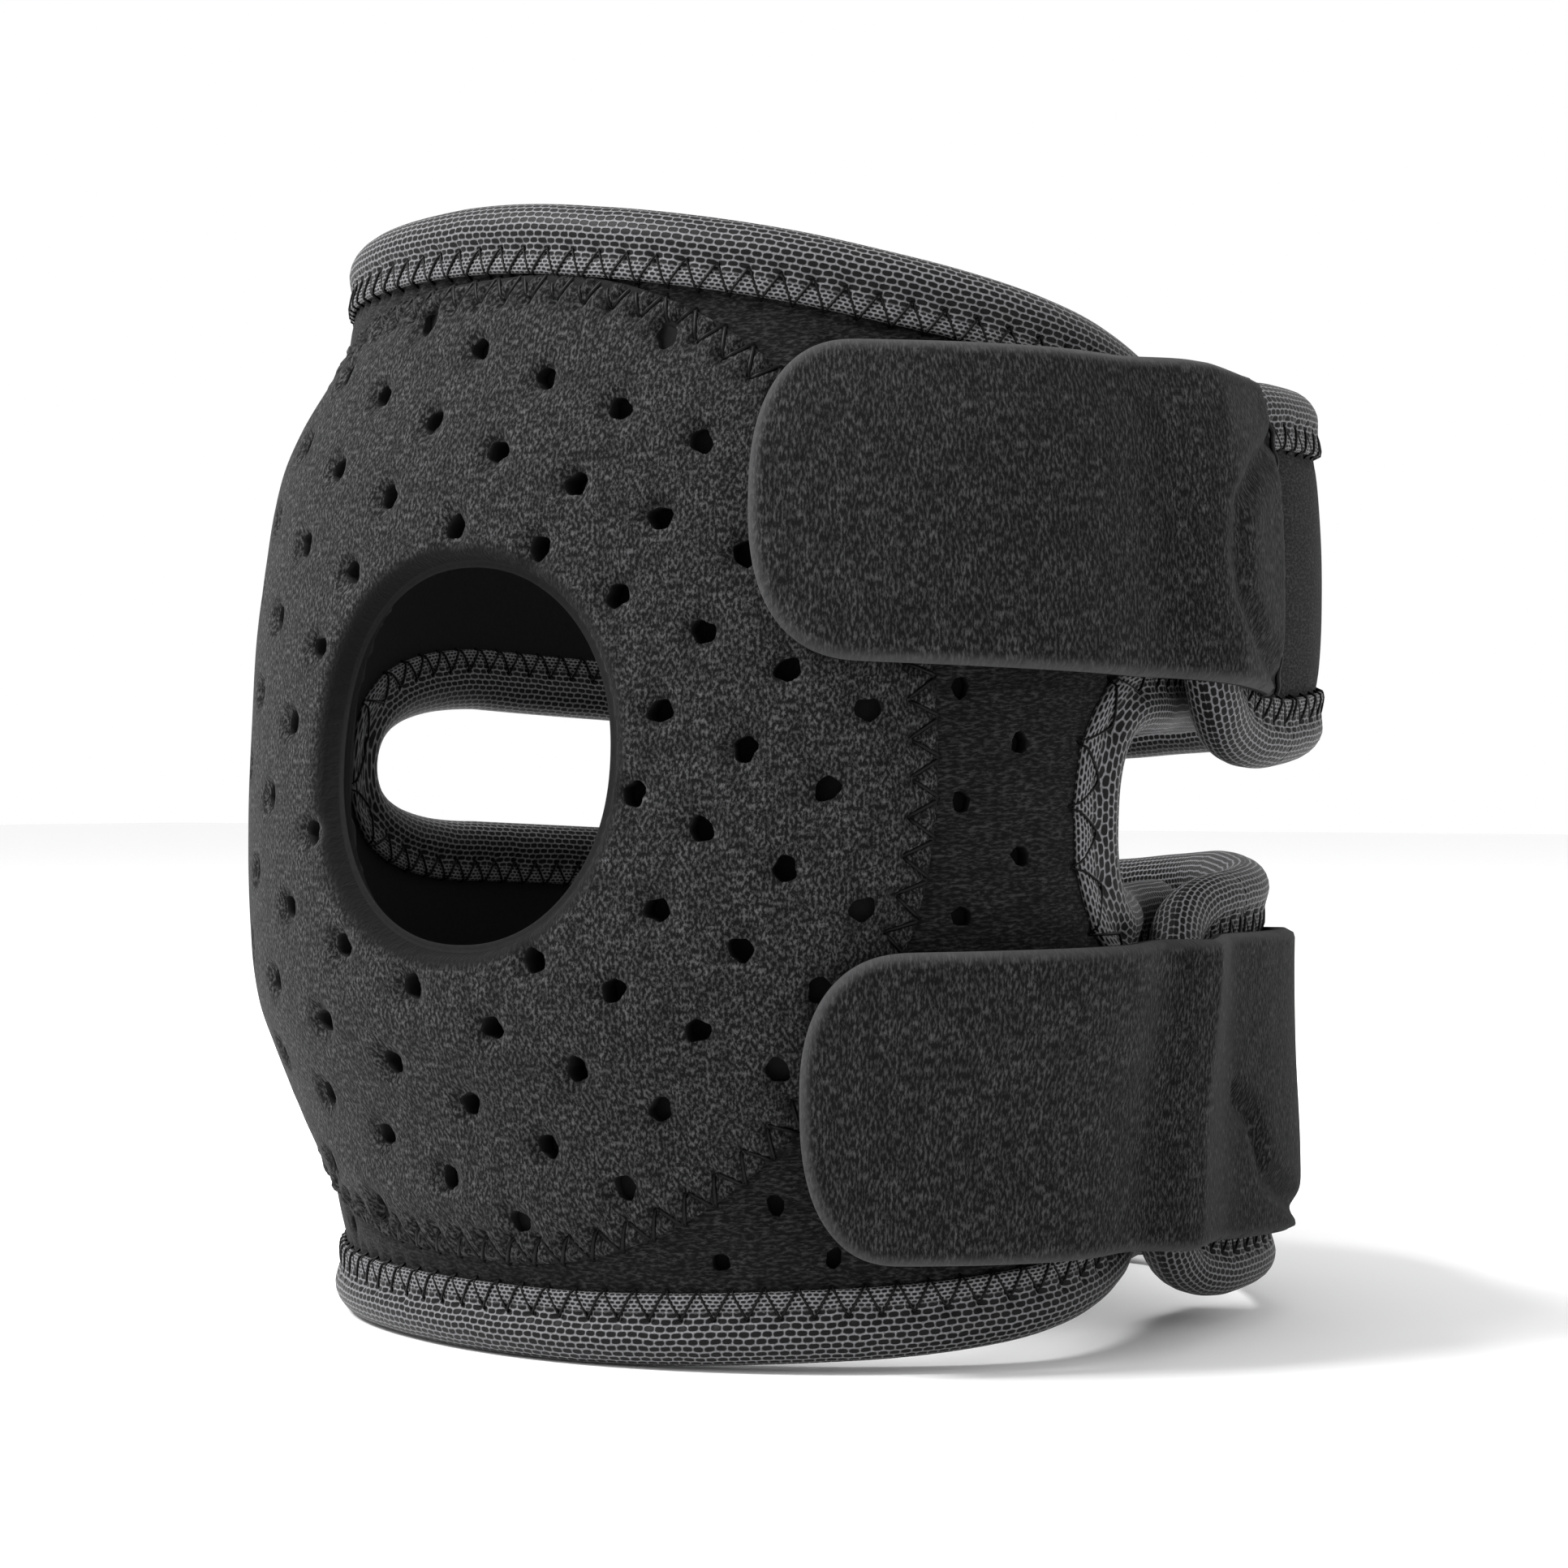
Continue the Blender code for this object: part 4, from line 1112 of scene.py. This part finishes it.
# Binding tape folded over an edge and pulled down by its stitching
def tape(name, run, material):
    points, at, into = spaced(run, TAPE_STEP, TAPE_BUTT)
    section = tape_section()
    count = len(section)
    depth = np.tile(section[:, 0], len(points))
    out = np.tile(section[:, 1], len(points))
    along = np.repeat(at, count)
    flat = np.repeat(points, count, axis=0) + np.repeat(into, count, axis=0) * depth[:, None]
    length = at[-1] + TAPE_BUTT
    legs = max(2, int(round(length / (STITCH_PITCH / 2))))
    phase = along / length * legs
    swing = np.abs((phase % 2) - 1)
    thread_depth = STITCH_OFF + (STITCH_IN - STITCH_OFF) * swing
    away = np.abs(depth - thread_depth) * 0.55
    hole = np.hypot((phase - 2 * np.round(phase / 2)) * STITCH_PITCH / 2, depth - STITCH_IN)
    press = dent(away, "tape_thread") * ease(4.9 * MM, 5.6 * MM, depth) + dent(hole, "tape_needle")
    facing = np.where(out > -PANEL_THICK / 2, -1.0, 1.0)
    on_face = np.tile(np.arange(count) < count - 4, len(points))
    out = out + np.where(on_face, facing * press, 0.0)
    place = on_cloth(flat, out)
    across = np.concatenate([[0.0], np.cumsum(np.hypot(*np.diff(section, axis=0).T))])
    middle = across[(count - 4) // 2]
    uvs = np.stack([along, np.tile(TAPE_WIDTH - np.minimum(across, 2 * middle - across), len(points))], axis=-1)
    grid = np.arange(len(points) * count).reshape(len(points), count)
    left = grid[:-1]
    right = grid[1:]
    quads = np.stack([left, turned(left), turned(right), right], axis=-1).reshape(-1, 4)
    faces = [list(face) for face in quads] + [list(grid[0][::-1]), list(grid[-1])]
    place = place + PLAN_SHIFT
    return make_piece(name, place, faces, uvs, np.zeros(len(faces), int), [material])


def face_out(made):
    mesh = made.data
    mesh.calc_loop_triangles()
    co = np.empty(len(mesh.vertices) * 3)
    mesh.vertices.foreach_get("co", co)
    co = co.reshape(-1, 3)
    tris = np.empty(len(mesh.loop_triangles) * 3, int)
    mesh.loop_triangles.foreach_get("vertices", tris)
    a, b, c = co[tris.reshape(-1, 3)].transpose(1, 0, 2)
    if (a * np.cross(b, c)).sum() < 0:
        mesh.flip_normals()
    return made


# A round thread through many points, each with the way that is out there
def thread_tube(name, lines, radius, sides=6):
    blocks = []
    faces = []
    start = 0
    for points, outward in lines:
        ahead = unit(np.gradient(points, axis=0))
        side = unit(np.cross(ahead, outward))
        up = np.cross(side, ahead)
        turn = 2 * np.pi * np.arange(sides) / sides
        ring = side[:, None, :] * np.cos(turn)[None, :, None] + up[:, None, :] * np.sin(turn)[None, :, None]
        blocks.append((points[:, None, :] + ring * radius).reshape(-1, 3))
        grid = np.arange(len(points) * sides).reshape(len(points), sides) + start
        left = grid[:-1]
        right = grid[1:]
        quads = np.stack([left, right, turned(right), turned(left)], axis=-1).reshape(-1, 4)
        faces += [list(face) for face in quads] + [list(grid[0]), list(grid[-1][::-1])]
        start += len(points) * sides
    place = np.concatenate(blocks) + PLAN_SHIFT
    made = make_piece(name, place, faces, np.zeros((len(place), 2)), np.zeros(len(faces), int), [thread])
    return face_out(made)


# Even steps along zigzag legs: how many legs along, and where in the flat
def along_legs(flat):
    count = len(flat)
    at = np.arange((count - 1) * STITCH_STEPS + 1) / STITCH_STEPS
    return at, np.stack([np.interp(at, np.arange(count), flat[:, k]) for k in (0, 1)], axis=-1)


# Points along zigzag legs on a surface, diving at each turn
def stitch_line(flat, lay, rise, dive, faint=0.0):
    at, spots = along_legs(flat)
    turn = np.abs(2 * (at % 1.0) - 1) ** 5
    deeper = np.where((at % 2) < 1, 0.0, faint)
    lift = rise - (rise + dive) * turn - deeper * (1 - turn)
    points = lay(spots, lift)
    return points, unit(lay(spots, lift + MM) - points)


def tape_face(depth):
    face = TAPE_GAP + TAPE_THICK
    rows = [{"in": row["in"] * TAPE_WIDTH, "out": row["out"] * face} for row in TAPE_SIDE[::-1]]
    return np.where(depth > TAPE_WIDTH, 0.0, smooth(rows, "in", "out", depth))


def tape_stitches(name, run):
    flat, depth = zigzag(run, STITCH_PITCH, STITCH_IN, STITCH_OFF)
    level = tape_face(np.interp(along_legs(flat)[0], np.arange(len(flat)), depth))
    outside = stitch_line(flat, lambda p, lift: on_cloth(p, level + lift), 0.0, 0.45 * MM, 0.2 * MM)
    inner = stitch_line(flat, lambda p, lift: on_cloth(p, -PANEL_THICK - level - lift), 0.1 * MM, 0.45 * MM)
    return thread_tube(name, [outside, inner], THREAD_RADIUS)


tapes = {}
stitches = []
for name, run in stitched.items():
    material = notch_mesh if name == "notch" else binding_mesh
    tapes[name] = face_out(tape(name + "_binding_folded", run, material))
    stitches.append(tape_stitches(name + "_binding_stitches", run))


def cup_lay(points, lift):
    return on_cloth(points, cup_level + lift)


spots = along_legs(cup_seam)[1]
cup_level = np.where(cup_reach(spots) < 1, cup_top(spots), 0.0)
cup_stitch = stitch_line(cup_seam, cup_lay, 0.2 * MM, 0.3 * MM)
stitches.append(thread_tube("cup_seam_stitches", [cup_stitch], CUP_THREAD_RADIUS))


def tab_line(row, bearing):
    share = (bearing - row["free"]) / (row["sewn"] - row["free"])
    middle = HEIGHT * (row["middle"] + (row["middle_sewn"] - row["middle"]) * share)
    half = TAB_WIDTH / 2 * (row["wide"] + (row["wide_sewn"] - row["wide"]) * share)
    return middle, half


creases = {}
for name in ("upper", "lower"):
    spots = [(flat_of(row["bearing"]), HEIGHT * row["up"]) for row in CREASES if row["name"] == name]
    creases[name] = np.array(spots)

tabs = {}
hook_patches = {}
for row in TABS:
    start = flat_of(row["free"])
    stop = flat_of(row["sewn"])
    round_at = start + TAB_END_LONG
    turn = np.radians(np.linspace(90, 270, 60))
    x = round_at + TAB_END_LONG * np.sign(np.cos(turn)) * np.abs(np.cos(turn)) ** (2 / TAB_CORNER_POWER)
    middle, half = tab_line(row, bearing_of(x))
    y = middle + half * np.sign(np.sin(turn)) * np.abs(np.sin(turn)) ** (2 / TAB_CORNER_POWER)
    middle, half = tab_line(row, row["sewn"])
    outline = np.concatenate([np.stack([x, y], axis=-1), [(stop, middle - half), (stop, middle + half)]])
    across = np.arange(start - MM, stop + MM, TAB_CELL)
    heights = np.arange(outline[:, 1].min() - MM, outline[:, 1].max() + MM, TAB_CELL)
    points, faces = cut_sheet(across, heights, outline, [], [], 0.0)

    def tab_outer(points, outline=outline, row=row):
        bearing = bearing_of(points[:, 0])
        distance = nearest_on(points, outline, True)[0]
        thick = TAB_THICK - TAB_END_THINNER * ease(row["sewn"] - 6, row["sewn"], bearing)
        crease = nearest_on(points, creases[row["name"]], False)[0]
        out = thick - round_off(distance, 1.2 * MM) - dent(crease, "crease")
        return on_tab(bearing, points[:, 1], out, row["sewn"])

    def tab_inner(points, outline=outline, row=row):
        bearing = bearing_of(points[:, 0])
        distance = nearest_on(points, outline, True)[0]
        crease = nearest_on(points, creases[row["name"]], False)[0]
        out = round_off(distance, 0.6 * MM) - dent(crease, "crease_inside")
        return on_tab(bearing, points[:, 1], out, row["sewn"])

    # The tab's fuzzy cut edge is lightened towards its rim: a painted highlight of loose fibres catching the
    # light
    def tab_fuzz_and_highlight_mark(points, outline=outline):
        return 0.8 * (1 - ease(0.0, FUZZ_AND_HIGHLIGHT_WIDE, nearest_on(points, outline, True)[0]))

    name = row["name"] + "_tab_cut"
    layers = [tab_fleece, smooth_lining, foam]
    tabs[row["name"]] = shell(name, points, faces, tab_outer, tab_inner, layers, mark=tab_fuzz_and_highlight_mark)
    end_at = np.linspace(middle - half + END_STITCH_SHORT, middle + half - END_STITCH_SHORT, 220)
    wave = np.sin(2 * np.pi * (end_at - end_at[0]) / END_WAVE_LONG) * END_WAVE_HIGH
    end_line = np.stack([stop - END_STITCH_IN + wave, end_at], axis=-1)

    def on_end(points, lift, row=row):
        bearing = bearing_of(points[:, 0])
        return on_tab(bearing, points[:, 1], TAB_THICK - TAB_END_THINNER + lift, row["sewn"])

    outward = unit(on_end(end_line, MM) - on_end(end_line, 0.0))
    end_stitch = [(on_end(end_line, -END_STITCH_SINK), outward)]
    stitches.append(thread_tube(row["name"] + "_tab_end_stitches", end_stitch, 2 * THREAD_RADIUS))
    middle, half = tab_line(row, (HOOK_FROM + HOOK_TO) / 2)
    hook_x = np.linspace(flat_of(HOOK_FROM), flat_of(HOOK_TO), 24)
    hook_y = np.linspace(middle - HOOK_HALF_HEIGHT, middle + HOOK_HALF_HEIGHT, 30)
    corners = rounded(
        ((hook_x[0] + hook_x[-1]) / 2, middle), ((hook_x[-1] - hook_x[0]) / 2, HOOK_HALF_HEIGHT), 8, 0, 360, 80
    )[:-1]
    points, faces = cut_sheet(hook_x, hook_y, corners, [], [], 0.0)
    hook_patches[row["name"]] = shell(
        row["name"] + "_hook_patch_moulded",
        points,
        faces,
        at_depth(LAYER_GAP + HOOK_THICK),
        at_depth(LAYER_GAP),
        [hooks, hooks, hooks],
    )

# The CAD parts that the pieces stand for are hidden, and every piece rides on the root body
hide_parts("elbow_cup")
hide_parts("base_panel")
for name, made in tapes.items():
    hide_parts(name + "_binding")
for name, made in tabs.items():
    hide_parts(name + "_tab")
for name, made in hook_patches.items():
    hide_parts(name + "_hook_patch")
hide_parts("elbow_cup")
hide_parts("base_panel")
layers = [elbow_cup, cup_lining, base_panel, panel_lining]
for made in [*layers, *tapes.values(), *tabs.values(), *hook_patches.values(), *stitches]:
    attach(made, "root")


# The photograph's view: the camera stands level, low and close
CAMERA_TURN = math.radians(34.3)
CAMERA_BACK = 450 * MM
CAMERA_HEIGHT = 66.6 * MM
FOCAL_PIXELS = 4286
FRAME_PIXELS = 1932
SENSOR = 36.0
AXIS_OFFSET = (6.0 * MM, 9.0 * MM)
away = Vector((-math.sin(CAMERA_TURN), math.cos(CAMERA_TURN), 0.0))
right = Vector((math.cos(CAMERA_TURN), math.sin(CAMERA_TURN), 0.0))


# A spot to the right, beyond and above, seen from the camera's side
def spot_at(to_right, beyond, up):
    return right * to_right + away * beyond + Vector((0.0, 0.0, up))


camera_data = bpy.data.cameras.new("camera")
camera_data.sensor_width = SENSOR
camera_data.lens = FOCAL_PIXELS / FRAME_PIXELS * SENSOR
camera_data.clip_start = 0.01
camera = bpy.data.objects.new("camera", camera_data)
bpy.context.scene.collection.objects.link(camera)
centre = Vector((PLAN_CENTRE[0], PLAN_CENTRE[1], 0.0))
camera.location = centre + spot_at(-AXIS_OFFSET[0], -CAMERA_BACK - AXIS_OFFSET[1], CAMERA_HEIGHT)
camera.rotation_euler = away.to_track_quat("-Z", "Y").to_euler()
bpy.context.scene.camera = camera

# Pale floor and soft studio light
bpy.ops.mesh.primitive_plane_add(size=8.0, location=(0, 0, 0))
floor = bpy.context.active_object
floor.name = "floor"
floor_material, tree, shader = new_material("pale_floor", 0.9, 1.45)
shader.inputs["Base Color"].default_value = linear("f7f7f7")
floor.data.materials.append(floor_material)

world = bpy.data.worlds.new("studio")
bpy.context.scene.world = world
world.use_nodes = True
world.node_tree.nodes["Background"].inputs["Color"].default_value = linear("ffffff")
world.node_tree.nodes["Background"].inputs["Strength"].default_value = 1.0


def soft_light(name, place, aim, size, power):
    data = bpy.data.lights.new(name, "AREA")
    data.size = size
    data.energy = power
    made = bpy.data.objects.new(name, data)
    bpy.context.scene.collection.objects.link(made)
    made.location = place
    made.rotation_euler = (aim - place).to_track_quat("-Z", "Y").to_euler()


aim = Vector((0.0, 0.0, HEIGHT / 2))
# Lamps: where each stands from the camera's side in metres, its size, and its power in watts
LAMPS = table(
    "name right beyond up size power",
    ("key", -0.75, -0.25, 1.05, 0.5, 30.0),
    ("fill", 0.7, -0.9, 0.3, 0.8, 2.0),
)
for row in LAMPS:
    soft_light(row["name"], spot_at(row["right"], row["beyond"], row["up"]), aim, row["size"], row["power"])
bpy.context.scene.view_settings.view_transform = "Standard"
